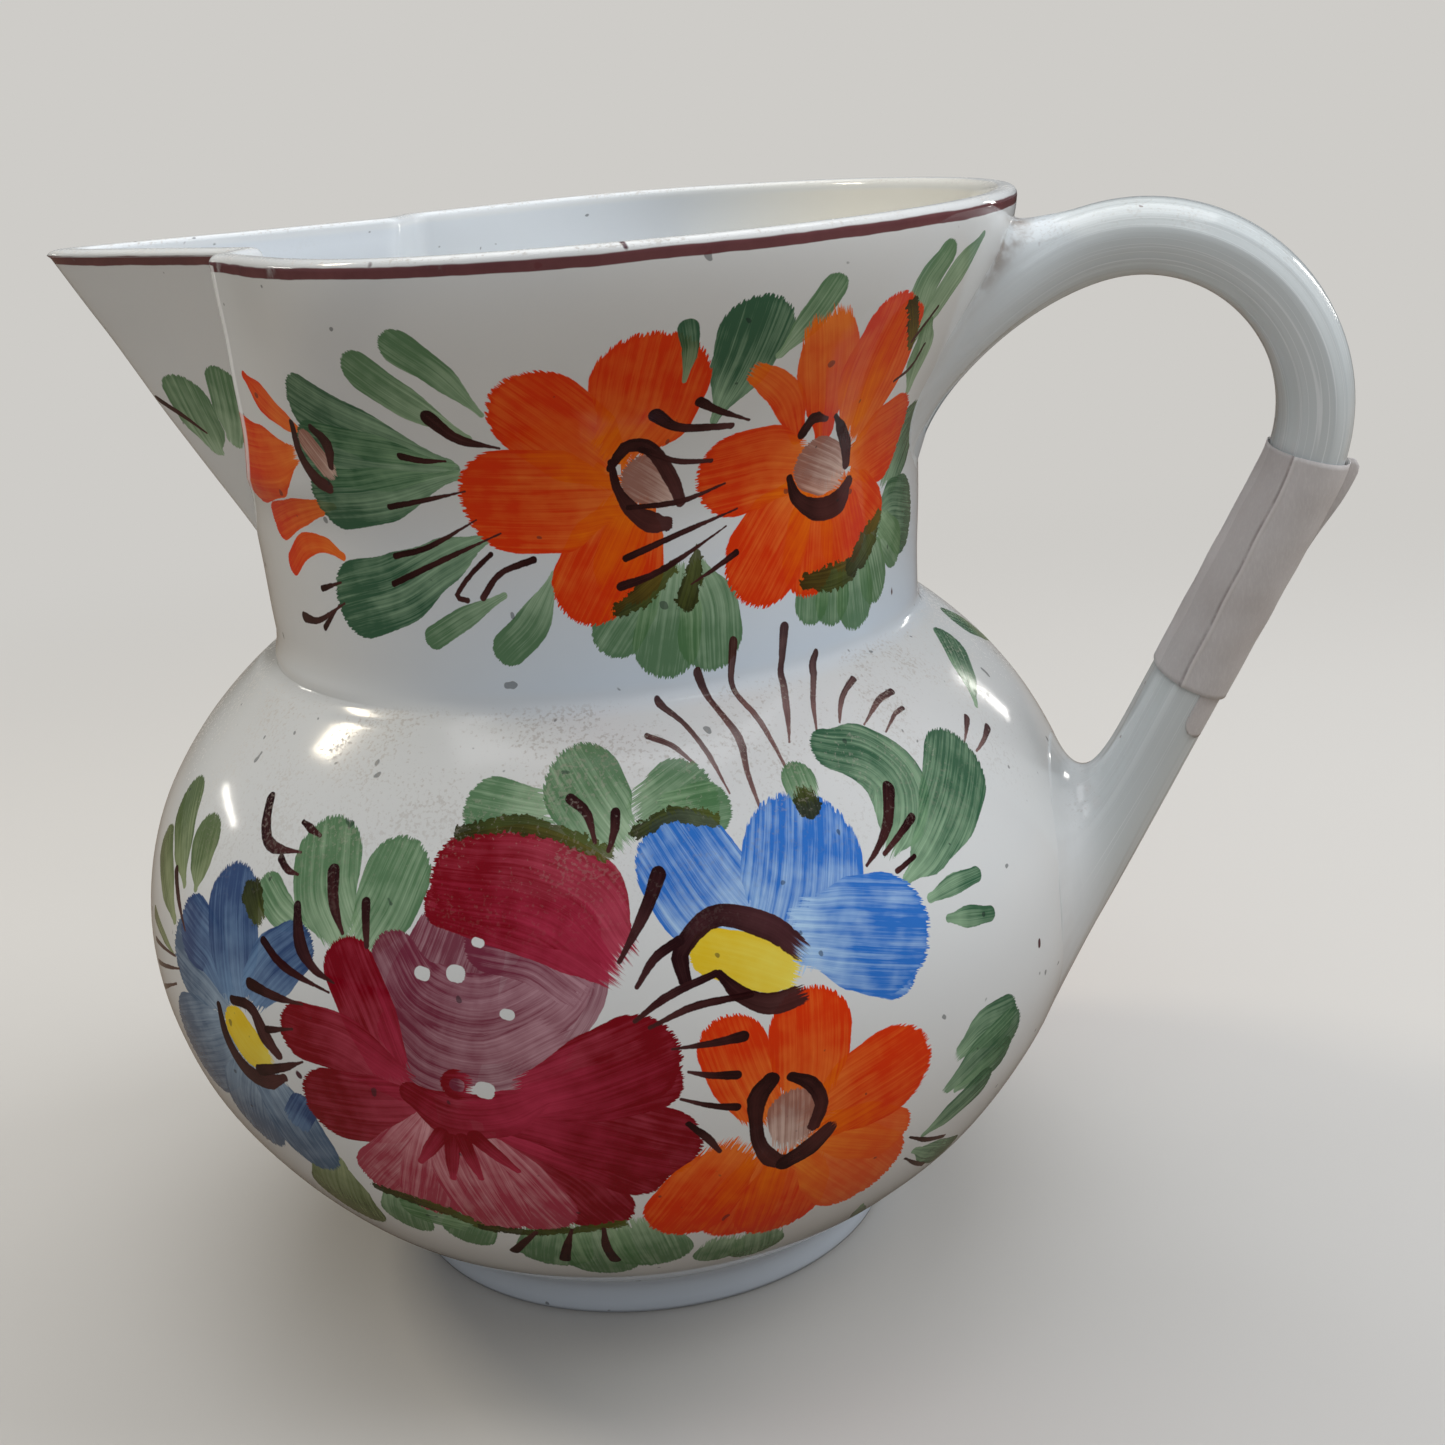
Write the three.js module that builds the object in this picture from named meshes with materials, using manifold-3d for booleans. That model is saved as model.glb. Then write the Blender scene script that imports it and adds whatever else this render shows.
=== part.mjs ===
// A 20 cm glazed ceramic pitcher with a folk-painted body, a V-shaped pouring beak and a strap handle.
// Millimetres and degrees, +Z up. The jug is modelled round its own axis, spout to -X, handle to +X,
// and the finished group is then shifted so that its origin is under the middle of the whole object.

import * as THREE from 'three';
import { mergeVertices } from 'three/addons/utils/BufferGeometryUtils.js';
import Module from 'manifold-3d';

const wasm = await Module();
wasm.setup();

// Body
const rimHeight = 200;
const wallThickness = 4.5;
const bellyRadius = 92;
const bellyWidestHeight = 73;
const bellyLowerDrop = 79.3;
const bellyLowerFullness = 1.9;
const bellyUpperFullness = 2;
const neckBaseHeight = 124;
const shoulderOverrun = 1.382353;
const neckRadius = 61.8;
const neckFilletHeight = 2.5;
const neckTaper = 1.4;
const flareDepth = 48;
const rimRadius = 86;
const rimPinchAtHandle = 3.2;
const pinchStartAngle = 105;
const lipRound = 1.7;

// Foot
const footHeight = 9;
const footRadius = 49.3;
const footRingWidth = 9;
const footEdgeRound = 1.2;
const floorThickness = 5.5;

// Pouring beak
const spoutReach = 103.2;
const spoutKeelLean = 0.62;
const keelAboveShoulder = 8;
const beakHalfAngle = 31;
const beakNoseSoftness = 1.6;
const beakHalfWidth = 33;
const beakSeatDistance = 48;
const beakSeatFadeDepth = 28;
const frontRimRadius = 69.2;
const frontFlattening = 1.2;
const frontFlatteningRise = 6;
const frontStartAngle = 48;
const frontEndAngle = 97;
const cornerRound = 2.5;
const valleyRound = 2;

// Handle
const handleReach = 140.2;
const handleBelowRim = 3.2;
const archRadius = 30.5;
const strapThickness = 13.2;
const strapWidth = 20;
const strapRoundness = 2.3;
const landingHeight = 71.8;
const heelHeight = 43;
const crotchHeight = 88;
const lowerRootStart = 0.66;
const lowerRootWidth = 36;
const webStartAngle = 112;
const webCornerDrop = 27;
const webLowDrop = 47;
const upperRootWidth = 25;
const upperRootEndAngle = 131;
const rootEmbed = 5;

// Joints between the pieces
const slipThickness = 1.1;
const slipSqueeze = 0.5;
const seamClearance = 0.3;

// Price label
const labelAboveBend = 7;
const labelShareOfStrap = 0.613;
const labelThickness = 0.35;
const labelFlag = 1.8;
const labelTabLength = 8.5;
const labelTabThickness = 0.25;

// Fineness of the facets
const aroundSteps = 60;
const frontFineAngle = 60;
const frontFineSteps = 18;
const bellySteps = 13;
const innerSteps = 8;
const neckSteps = 7;
const strapSectionSteps = 16;
const labelSteps = 12;

const whiteGlaze = { color: 0xe4e6e4, roughness: 0.12, metalness: 0 };
const innerCream = { color: 0xe9e5d8, roughness: 0.14, metalness: 0 };
const footGlaze = { color: 0xcdd5dc, roughness: 0.18, metalness: 0 };
const paperWhite = { color: 0xc9c6c4, roughness: 0.7, metalness: 0 };

// Heights that follow from the rim and the shoulder. The shoulder's curve would run on past the
// neck's foot to the axis, by the overrun, so the neck always meets it at the same width.
const bellyUpperRise = (neckBaseHeight - bellyWidestHeight) * shoulderOverrun;
const flareStartHeight = rimHeight - flareDepth;
const spoutKeelFootHeight = neckBaseHeight + keelAboveShoulder;
const beakSeatFadeHeight = rimHeight - beakSeatFadeDepth;
const handleTopHeight = rimHeight - handleBelowRim;
const webCornerHeight = rimHeight - webCornerDrop;
const webLowHeight = rimHeight - webLowDrop;

const radians = THREE.MathUtils.degToRad;
const jug = new THREE.Group();

function addPiece(name, geometry, look) {
  const piece = new THREE.Mesh(geometry, new THREE.MeshStandardMaterial(look));
  piece.name = name;
  jug.add(piece);
}

function smoothRise(value, low, high) {
  const share = THREE.MathUtils.clamp((value - low) / (high - low), 0, 1);
  return share * share * (3 - 2 * share);
}

function softMin(a, b, blend) {
  const near = Math.max(blend - Math.abs(a - b), 0) / blend;
  return Math.min(a, b) - near * near * blend / 4;
}

function softMax(a, b, blend) {
  return -softMin(-a, -b, blend);
}

// The belly is two superellipse quarters back to back; inset moves the curve in by a wall.
function bellyCurve(height, inset) {
  const above = height > bellyWidestHeight;
  const reach = (above ? bellyUpperRise : bellyLowerDrop) - inset;
  const fullness = above ? bellyUpperFullness : bellyLowerFullness;
  const share = Math.min(Math.abs(height - bellyWidestHeight) / reach, 1);
  return (bellyRadius - inset) * Math.pow(1 - Math.pow(share, fullness), 1 / fullness);
}

// The round neck rises from a small fillet on the shoulder and opens as a trumpet to the rim.
function neckCurve(height) {
  const upTheNeck = (height - neckBaseHeight) / (flareStartHeight - neckBaseHeight);
  const straight = neckRadius + neckTaper * Math.min(upTheNeck, 1);
  const flare = (rimRadius - neckRadius - neckTaper) * smoothRise(height, flareStartHeight, rimHeight);
  const filletLeft = Math.max(1 - (height - neckBaseHeight) / neckFilletHeight, 0);
  const fillet = (bellyCurve(neckBaseHeight, 0) - neckRadius) * filletLeft * filletLeft;
  return straight + flare + fillet;
}

// Beside the spout the neck flares far less, so the rim is pressed in towards the beak.
// Behind, where the handle's root is pressed on, the flare is pinched in a little.
function neckRadiusAt(angle, height, inset) {
  const flared = smoothRise(height, flareStartHeight, rimHeight);
  const pinch = rimPinchAtHandle * flared * smoothRise(angle, pinchStartAngle, 180);
  const round = neckCurve(height) - pinch;
  const upTheFront = (height - neckBaseHeight) / (rimHeight - neckBaseHeight);
  const flatteningTop = neckBaseHeight + frontFlatteningRise;
  const flattening = frontFlattening * smoothRise(height, neckBaseHeight, flatteningTop);
  const front = Math.min(round, neckRadius + (frontRimRadius - neckRadius) * upTheFront) - flattening;
  return front + (round - front) * smoothRise(angle, frontStartAngle, frontEndAngle) - inset;
}

// Plan radius of the neck with its beak, at an angle from the spout direction.
// The beak is two straight walls meeting at the keel; its seat is a flat cut across the neck's front.
function necklineRadius(angleFromSpout, height, inset) {
  const angle = Math.abs(angleFromSpout);
  const neck = neckRadiusAt(angle, height, inset);
  if (angle > 85) {
    return neck;
  }
  const keel = spoutReach - spoutKeelLean * (rimHeight - height);
  const noseAngle = Math.hypot(angle, beakNoseSoftness);
  const wallDistance = keel * Math.sin(radians(beakHalfAngle + beakNoseSoftness)) - inset;
  const beak = wallDistance / Math.sin(radians(beakHalfAngle + noseAngle));
  const seatFade = 1 - smoothRise(height, spoutKeelFootHeight, beakSeatFadeHeight);
  const seatDistance = beakSeatDistance + (neckRadius + neckTaper - beakSeatDistance) * seatFade;
  const seat = (seatDistance - inset) / Math.cos(radians(angle));
  return softMax(softMin(neck, seat, cornerRound), beak, valleyRound);
}

// The outside of the whole body, grown by a clearance.
function bodyRadius(angleFromSpout, height, clearance) {
  if (height < neckBaseHeight) {
    return bellyCurve(height, -clearance);
  }
  return necklineRadius(angleFromSpout, Math.min(height, rimHeight), -clearance);
}

function toSolid(geometry) {
  const bare = new THREE.BufferGeometry();
  bare.setAttribute('position', geometry.getAttribute('position'));
  if (geometry.index) {
    bare.setIndex(geometry.index);
  }
  const joined = mergeVertices(bare, 1e-4);
  return new wasm.Manifold(new wasm.Mesh({
    numProp: 3,
    vertProperties: new Float32Array(joined.attributes.position.array),
    triVerts: new Uint32Array(joined.index.array),
  }));
}

function toGeometry(solid) {
  const mesh = solid.getMesh();
  const geometry = new THREE.BufferGeometry();
  geometry.setAttribute('position', new THREE.BufferAttribute(new Float32Array(mesh.vertProperties), 3));
  geometry.setIndex(new THREE.BufferAttribute(new Uint32Array(mesh.triVerts), 1));
  geometry.computeVertexNormals();
  return geometry;
}

// A lathe about +Z from [radius, height] pairs that run up the outside and down the inside.
function latheZ(profile) {
  const points = profile.map(([radius, height]) => new THREE.Vector2(radius, height));
  const lathe = new THREE.LatheGeometry(points, aroundSteps);
  lathe.rotateX(Math.PI / 2);
  return lathe;
}

// Skins a row of closed point loops and caps its ends with a fan round each end's middle,
// or, where the loops themselves close on the first, joins the last loop to the first.
function skinLoops(loops, closed) {
  const count = loops[0].length;
  const positions = [];
  const faces = [];
  for (const loop of loops) {
    for (const point of loop) {
      positions.push(point.x, point.y, point.z);
    }
  }
  const rows = closed ? loops.length : loops.length - 1;
  for (let row = 0; row < rows; row += 1) {
    const next = (row + 1) % loops.length;
    for (let i = 0; i < count; i += 1) {
      const j = (i + 1) % count;
      faces.push(row * count + i, row * count + j, next * count + j);
      faces.push(row * count + i, next * count + j, next * count + i);
    }
  }
  if (!closed) {
    for (const end of [0, loops.length - 1]) {
      const middle = new THREE.Vector3();
      for (const point of loops[end]) {
        middle.addScaledVector(point, 1 / count);
      }
      const centre = positions.length / 3;
      positions.push(middle.x, middle.y, middle.z);
      for (let i = 0; i < count; i += 1) {
        const here = end * count + i;
        const there = end * count + (i + 1) % count;
        faces.push(centre, ...(end === 0 ? [there, here] : [here, there]));
      }
    }
  }
  const geometry = new THREE.BufferGeometry();
  geometry.setAttribute('position', new THREE.BufferAttribute(new Float32Array(positions), 3));
  geometry.setIndex(faces);
  const solid = toSolid(geometry);
  if (solid.volume() > 0) {
    return solid;
  }
  for (let i = 0; i < faces.length; i += 3) {
    [faces[i], faces[i + 1]] = [faces[i + 1], faces[i]];
  }
  geometry.setIndex(faces);
  return toSolid(geometry);
}

function steps(from, to, count) {
  return Array.from({ length: count + 1 }, (_, i) => from + (to - from) * i / count);
}

// Heights of the facet rows, shared by the walls and by what is cut to fit against them.
const bellyRows = steps(footHeight, neckBaseHeight, bellySteps);
const neckRows = [
  neckBaseHeight,
  ...steps(neckBaseHeight + neckFilletHeight, flareStartHeight, 3),
  ...steps(flareStartHeight, rimHeight - lipRound, neckSteps).slice(1),
];

function bellyShell() {
  const neckBore = neckRadius - wallThickness;
  const floorHeight = footHeight + floorThickness;
  const outside = bellyRows.map((z) => [bellyCurve(z, 0), z]);
  const inside = steps(neckBaseHeight, floorHeight, innerSteps)
    .map((z) => [Math.max(bellyCurve(z, wallThickness), z > bellyWidestHeight ? neckBore : 0), z]);
  return latheZ([[0, footHeight], ...outside, ...inside, [0, floorHeight]]);
}

// The foot ring stands proud under the belly and carries it on a flat annulus.
function footRing() {
  const topRadius = bellyCurve(footHeight, 0) - seamClearance;
  const innerRadius = footRadius - footRingWidth;
  const flareHeight = footHeight * 0.6;
  return latheZ([
    [innerRadius + footEdgeRound, 0],
    [footRadius - footEdgeRound, 0],
    [footRadius, footEdgeRound],
    [footRadius, flareHeight],
    [(footRadius + topRadius) / 2 - footEdgeRound / 2, (flareHeight + footHeight) / 2 + footEdgeRound / 2],
    [topRadius, footHeight],
    [innerRadius, footHeight],
    [innerRadius, footEdgeRound],
    [innerRadius + footEdgeRound, 0],
  ]);
}

// Angles from the spout, closer together over the beak and the pressed-in front.
function necklineAngles() {
  const half = [
    ...steps(0, frontFineAngle, frontFineSteps).slice(0, -1),
    ...steps(frontFineAngle, 180, frontFineSteps),
  ];
  const mirrored = half.slice(1, -1).map((angle) => -angle).reverse();
  return [...half, ...mirrored];
}

// The whole neck with its beak as one closed band, before the beak is parted from it.
function neckAndBeak() {
  const insideHeights = steps(rimHeight - lipRound, neckBaseHeight, innerSteps);
  const loops = necklineAngles().map((angle) => {
    const direction = radians(180 + angle);
    const place = (radius, height) => new THREE.Vector3(
      radius * Math.cos(direction), radius * Math.sin(direction), height);
    const at = (height, inset) => necklineRadius(angle, height, inset);
    return [
      ...neckRows.map((z) => place(at(z, 0), z)),
      place(at(rimHeight, lipRound * 0.3), rimHeight - lipRound * 0.3),
      place(at(rimHeight, lipRound), rimHeight),
      place(at(rimHeight, wallThickness - lipRound), rimHeight),
      place(at(rimHeight, wallThickness - lipRound * 0.3), rimHeight - lipRound * 0.3),
      ...insideHeights.map((z) => place(at(z, wallThickness), z)),
    ];
  });
  return skinLoops(loops, true);
}

// A triangular prism through the front of the neck, the notch that the beak is set into.
function beakNotch(clearance) {
  const rise = rimHeight - spoutKeelFootHeight;
  const slant = Math.hypot(rise, beakHalfWidth) / rise;
  const above = 10;
  const topHalf = beakHalfWidth * (rise + above) / rise - clearance * slant;
  const bottom = spoutKeelFootHeight + clearance * slant * rise / beakHalfWidth;
  const shape = new THREE.Shape([
    new THREE.Vector2(0, bottom),
    new THREE.Vector2(topHalf, rimHeight + above),
    new THREE.Vector2(-topHalf, rimHeight + above),
  ]);
  const prism = new THREE.ExtrudeGeometry(shape, { depth: spoutReach * 1.2, bevelEnabled: false });
  prism.rotateX(Math.PI / 2);
  prism.rotateZ(-Math.PI / 2);
  return toSolid(prism);
}

// The handle's centreline is an arch and a straight strap tangent to it, down to the belly.
const archX = handleReach - strapThickness / 2 - archRadius;
const archZ = handleTopHeight - strapThickness / 2 - archRadius;
const landingX = bellyCurve(landingHeight, 0);
const toArchX = archX - landingX;
const toArchZ = archZ - landingHeight;
const landingToArch = Math.hypot(toArchX, toArchZ);
const strapAngle = Math.atan2(toArchZ, toArchX) - Math.asin(archRadius / landingToArch);
const strapLength = Math.sqrt(landingToArch ** 2 - archRadius ** 2);
const bendAngle = strapAngle - Math.PI / 2;
const labelLength = strapLength * labelShareOfStrap;

// A place on the centreline, by distance from the bend: up the arch below zero, down the strap above.
function strapFrame(distance) {
  const angle = bendAngle - Math.min(distance, 0) / archRadius;
  const down = Math.max(distance, 0);
  return {
    x: archX + archRadius * Math.cos(angle) - down * Math.cos(strapAngle),
    z: archZ + archRadius * Math.sin(angle) - down * Math.sin(strapAngle),
    outX: Math.cos(angle),
    outZ: Math.sin(angle),
  };
}

// One closed oval between the strap's outer and inner edge, given as [x, z] each.
function strapSection(outer, inner, width) {
  const points = [];
  const middleX = (outer[0] + inner[0]) / 2;
  const middleZ = (outer[1] + inner[1]) / 2;
  const power = 2 / strapRoundness;
  for (let i = 0; i < strapSectionSteps; i += 1) {
    const turn = 2 * Math.PI * i / strapSectionSteps;
    const across = Math.sign(Math.cos(turn)) * Math.pow(Math.abs(Math.cos(turn)), power);
    const aside = Math.sign(Math.sin(turn)) * Math.pow(Math.abs(Math.sin(turn)), power);
    points.push(new THREE.Vector3(
      middleX + across * (outer[0] - inner[0]) / 2,
      aside * width / 2,
      middleZ + across * (outer[1] - inner[1]) / 2));
  }
  return points;
}

function archPoint(radius, degrees) {
  return [archX + radius * Math.cos(radians(degrees)), archZ + radius * Math.sin(radians(degrees))];
}

function mix(from, to, share) {
  return from.map((value, i) => value + (to[i] - value) * share);
}

// Upper root: the outer edge stays on the arch while the inner edge runs down a web to the neck.
function upperRootSections(swell) {
  const outerRadiusOfArch = archRadius + strapThickness / 2 + swell;
  const start = archPoint(archRadius - strapThickness / 2 - swell, webStartAngle);
  const corner = [bodyRadius(180, webCornerHeight, 0), webCornerHeight - swell];
  const end = [bodyRadius(180, webLowHeight, 0) - rootEmbed, webLowHeight - rootEmbed - swell];
  return steps(1, 0, 8).map((share) => {
    const outer = archPoint(outerRadiusOfArch, webStartAngle + (upperRootEndAngle - webStartAngle) * share);
    const inner = mix(mix(start, corner, share), mix(corner, end, share), share);
    const width = strapWidth + (upperRootWidth - strapWidth) * share + 2 * swell;
    return strapSection(outer, inner, width);
  });
}

// Lower root: the strap widens and turns until its section lies along the belly wall.
function lowerRootSections(swell) {
  const half = strapThickness / 2 + swell;
  const frame = strapFrame(strapLength * lowerRootStart);
  const outerStart = [frame.x + half * frame.outX, frame.z + half * frame.outZ];
  const innerStart = [frame.x - half * frame.outX, frame.z - half * frame.outZ];
  const outerEnd = [bellyCurve(heelHeight, 0) - rootEmbed, heelHeight - rootEmbed - swell];
  const innerEnd = [bellyCurve(crotchHeight, 0) - rootEmbed, crotchHeight - rootEmbed + swell];
  return steps(0, 1, 8).map((share) => strapSection(
    mix(outerStart, outerEnd, share),
    mix(innerStart, innerEnd, share),
    strapWidth + (lowerRootWidth - strapWidth) * smoothRise(share, 0, 1) + 2 * swell));
}

function strapSections() {
  const archStart = -archRadius * (radians(webStartAngle) - bendAngle);
  const places = [...steps(archStart, 0, 14), ...steps(0, strapLength * lowerRootStart, 3).slice(1)];
  return places.slice(1, -1).map((distance) => {
    const frame = strapFrame(distance);
    const half = strapThickness / 2;
    return strapSection(
      [frame.x + half * frame.outX, frame.z + half * frame.outZ],
      [frame.x - half * frame.outX, frame.z - half * frame.outZ],
      strapWidth);
  });
}

// The body's outside as one filled solid, grown by a clearance, that the handle is cut back from.
function bodyEnvelope(clearance) {
  const heights = [...bellyRows.slice(1), ...neckRows.slice(1), rimHeight + wallThickness];
  return skinLoops(heights.map((z) => necklineAngles().map((angle) => {
    const direction = radians(180 + angle);
    const radius = bodyRadius(angle, z, clearance);
    return new THREE.Vector3(radius * Math.cos(direction), radius * Math.sin(direction), z);
  })), false);
}

function handleSolid() {
  const whole = skinLoops([...upperRootSections(0), ...strapSections(), ...lowerRootSections(0)], false);
  return whole.subtract(bodyEnvelope(slipThickness + 2 * seamClearance));
}

// The clay slip that bonds a root to the wall, squeezed out a little past the root's edge.
function slipJoint(sections) {
  const pad = skinLoops(sections, false);
  return pad.intersect(bodyEnvelope(seamClearance + slipThickness)).subtract(bodyEnvelope(seamClearance));
}

// A strip of the label across the strap: the paper's outside one way and its inside back.
function labelStrip(frame, fromTurn, toTurn, flag, thickness) {
  const outside = [];
  const inside = [];
  const power = 2 / strapRoundness;
  const point = (turn, gap, past) => {
    const across = Math.sign(Math.cos(turn)) * Math.pow(Math.abs(Math.cos(turn)), power)
      * (strapThickness / 2 + gap) + past;
    const aside = Math.sign(Math.sin(turn)) * Math.pow(Math.abs(Math.sin(turn)), power)
      * (strapWidth / 2 + gap);
    return new THREE.Vector3(frame.x + across * frame.outX, aside, frame.z + across * frame.outZ);
  };
  if (flag > 0) {
    const lift = strapThickness / 2 - strapThickness / 2 * Math.pow(Math.cos(fromTurn), power) + flag;
    inside.push(point(fromTurn, seamClearance, lift));
    outside.push(point(fromTurn, seamClearance + thickness, lift));
  }
  for (const turn of steps(fromTurn, toTurn, labelSteps)) {
    inside.push(point(turn, seamClearance, 0));
    outside.push(point(turn, seamClearance + thickness, 0));
  }
  return [...outside, ...inside.reverse()];
}

// Skins label strips, whose open-ended C sections are capped as a row of quads.
function labelSheet(strips) {
  const count = strips[0].length;
  const positions = strips.flat().flatMap((point) => [point.x, point.y, point.z]);
  const faces = [];
  for (let row = 0; row < strips.length - 1; row += 1) {
    for (let i = 0; i < count; i += 1) {
      const j = (i + 1) % count;
      faces.push(row * count + i, row * count + j, (row + 1) * count + j);
      faces.push(row * count + i, (row + 1) * count + j, (row + 1) * count + i);
    }
  }
  const last = (strips.length - 1) * count;
  for (let i = 0; i < count / 2 - 1; i += 1) {
    const back = count - 1 - i;
    faces.push(i, back, i + 1, i + 1, back, back - 1);
    faces.push(last + i, last + i + 1, last + back, last + i + 1, last + back - 1, last + back);
  }
  const geometry = new THREE.BufferGeometry();
  geometry.setAttribute('position', new THREE.BufferAttribute(new Float32Array(positions), 3));
  geometry.setIndex(faces);
  return toSolid(geometry);
}

// Blank paper wrapped round the strap. One end stands off the outer edge as a flag,
// and the under layer shows as a short tab below the wrap.
function priceLabel() {
  const wrapFrom = radians(-52);
  const wrapTo = radians(-352);
  const wrap = steps(-labelAboveBend, labelLength - labelAboveBend, 8).map((distance, i, all) => {
    const flag = labelFlag * Math.max(1 - i / (all.length * 0.6), 0.12);
    return labelStrip(strapFrame(distance), wrapFrom, wrapTo, flag, labelThickness);
  });
  const tabStart = labelLength - labelAboveBend - 2;
  const tab = steps(tabStart, tabStart + 2 + labelTabLength, 3)
    .map((distance) => labelStrip(strapFrame(distance), radians(-20), radians(-88), 0, labelTabThickness));
  return labelSheet(wrap).add(labelSheet(tab));
}

const neckBand = neckAndBeak();
addPiece('foot_ring', footRing(), footGlaze);
addPiece('belly', bellyShell(), whiteGlaze);
addPiece('neck_collar', toGeometry(neckBand.subtract(beakNotch(0))), whiteGlaze);
addPiece('pouring_spout', toGeometry(neckBand.intersect(beakNotch(seamClearance))), innerCream);
addPiece('handle', toGeometry(handleSolid()), whiteGlaze);
addPiece('upper_slip_joint', toGeometry(slipJoint(upperRootSections(slipSqueeze))), whiteGlaze);
addPiece('lower_slip_joint', toGeometry(slipJoint(lowerRootSections(slipSqueeze))), whiteGlaze);
addPiece('price_label', toGeometry(priceLabel()), paperWhite);

const extent = new THREE.Box3().setFromObject(jug);
jug.position.x = -(extent.min.x + extent.max.x) / 2;
jug.position.y = -(extent.min.y + extent.max.y) / 2;

export default jug;
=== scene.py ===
import math

import bmesh
import bpy
import numpy as np
from mathutils import Matrix, Vector


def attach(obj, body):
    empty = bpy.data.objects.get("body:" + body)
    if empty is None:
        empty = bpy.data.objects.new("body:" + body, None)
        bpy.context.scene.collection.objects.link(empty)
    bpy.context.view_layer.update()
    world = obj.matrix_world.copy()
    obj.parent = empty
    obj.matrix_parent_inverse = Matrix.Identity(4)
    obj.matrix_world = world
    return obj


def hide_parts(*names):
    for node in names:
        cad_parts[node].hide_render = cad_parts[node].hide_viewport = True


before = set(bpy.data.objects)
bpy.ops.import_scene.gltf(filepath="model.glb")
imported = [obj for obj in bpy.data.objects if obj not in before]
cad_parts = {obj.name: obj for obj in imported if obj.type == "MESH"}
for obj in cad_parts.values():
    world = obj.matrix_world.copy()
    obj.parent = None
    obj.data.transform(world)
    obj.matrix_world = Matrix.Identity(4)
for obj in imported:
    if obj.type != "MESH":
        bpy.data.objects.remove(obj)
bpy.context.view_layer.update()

# The thrown body: one white-glazed earthenware wall from the foot ring up over the round belly,
# the flared neck and the V-shaped beak to the rolled lip, and down the inside to the floor.
# It is thrown, pressed and luted in the wet clay, then glazed as one, so it is one closed skin.
MM = 0.001
AXIS_X = -19.486
RIM_HEIGHT, RIM_RADIUS = 200.0, 86.0
WALL, LIP_ROUND = 4.5, 1.7
WIDEST_HEIGHT, WIDEST_RADIUS = 73.0, 92.0
UPPER_REACH, UPPER_FULLNESS = 70.5, 2.0
LOWER_REACH, LOWER_FULLNESS = 79.3, 1.9
NECK_FOOT, NECK_RADIUS, NECK_TAPER, NECK_FILLET = 124.0, 61.8, 1.4, 2.5
FLARE_START = 152.0
BACK_PINCH, PINCH_START = 3.2, 105
FRONT_LEAN, FRONT_FLAT, FLAT_RISE = 7.4, 1.2, 6
FRONT_END, BACK_START = 48, 97
KEEL_REACH, KEEL_LEAN = 103.2, 0.62
BEAK_HALF, NOSE_SOFT, BEAK_SIDE = 31.0, 1.6, 85
SEAT_DISTANCE, SEAT_LOW, SEAT_HIGH = 48.0, NECK_FOOT + 8, RIM_HEIGHT - 28
CORNER_BLEND, VALLEY_BLEND, BORE_BLEND = 2.5, 2.0, 7
FOOT_TOP, FOOT_RADIUS, FOOT_RING = 9.0, 49.3, 9.0
FLOOR_HEIGHT, FLOOR_CURVE = 14.5, (-9.5, 12)


def smooth_rise(value, low, high):
    share = np.clip((value - low) / (high - low), 0, 1)
    return share * share * (3 - 2 * share)


def soft_min(a, b, blend):
    near = np.maximum(blend - np.abs(a - b), 0) / blend
    return np.minimum(a, b) - near * near * blend / 4


def belly_radius(z, inset=0.0):
    above = z > WIDEST_HEIGHT
    reach = np.where(above, UPPER_REACH, LOWER_REACH) - inset
    fullness = np.where(above, UPPER_FULLNESS, LOWER_FULLNESS)
    share = np.minimum(np.abs(z - WIDEST_HEIGHT) / reach, 1)
    return (WIDEST_RADIUS - inset) * (1 - share ** fullness) ** (1 / fullness)


def neck_forms(from_spout, z, inset=0.0):
    """Radii of the forms that make the neck: the flared tube, the beak's seat and the beak."""
    angle = np.abs(from_spout)
    flared = smooth_rise(z, FLARE_START, RIM_HEIGHT)
    straight = NECK_RADIUS + NECK_TAPER
    up = np.minimum((z - NECK_FOOT) / (FLARE_START - NECK_FOOT), 1)
    fillet = np.maximum(1 - (z - NECK_FOOT) / NECK_FILLET, 0) ** 2
    tube = NECK_RADIUS + NECK_TAPER * up + (RIM_RADIUS - straight) * flared
    tube = tube + fillet * (belly_radius(np.array(NECK_FOOT)) - NECK_RADIUS)
    tube = tube - BACK_PINCH * flared * smooth_rise(angle, PINCH_START, 180)
    lean = FRONT_LEAN * (z - NECK_FOOT) / (RIM_HEIGHT - NECK_FOOT)
    front = np.minimum(tube, NECK_RADIUS + lean)
    front = front - FRONT_FLAT * smooth_rise(z, NECK_FOOT, NECK_FOOT + FLAT_RISE)
    neck = front + (tube - front) * smooth_rise(angle, FRONT_END, BACK_START) - inset
    keel = KEEL_REACH - KEEL_LEAN * (RIM_HEIGHT - z)
    wall_distance = keel * math.sin(math.radians(BEAK_HALF + NOSE_SOFT)) - inset
    beak = wall_distance / np.sin(np.radians(BEAK_HALF + np.hypot(angle, NOSE_SOFT)))
    seat = SEAT_DISTANCE + (straight - SEAT_DISTANCE) * (1 - smooth_rise(z, SEAT_LOW, SEAT_HIGH))
    seat = (seat - inset) / np.cos(np.radians(np.minimum(angle, BEAK_SIDE)))
    return neck, seat, beak


def neck_radius(from_spout, z, inset=0.0):
    neck, seat, beak = neck_forms(from_spout, z, inset)
    beaked = -soft_min(-soft_min(neck, seat, CORNER_BLEND), -beak, VALLEY_BLEND)
    return np.where(np.abs(from_spout) > BEAK_SIDE, neck, beaked)


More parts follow.
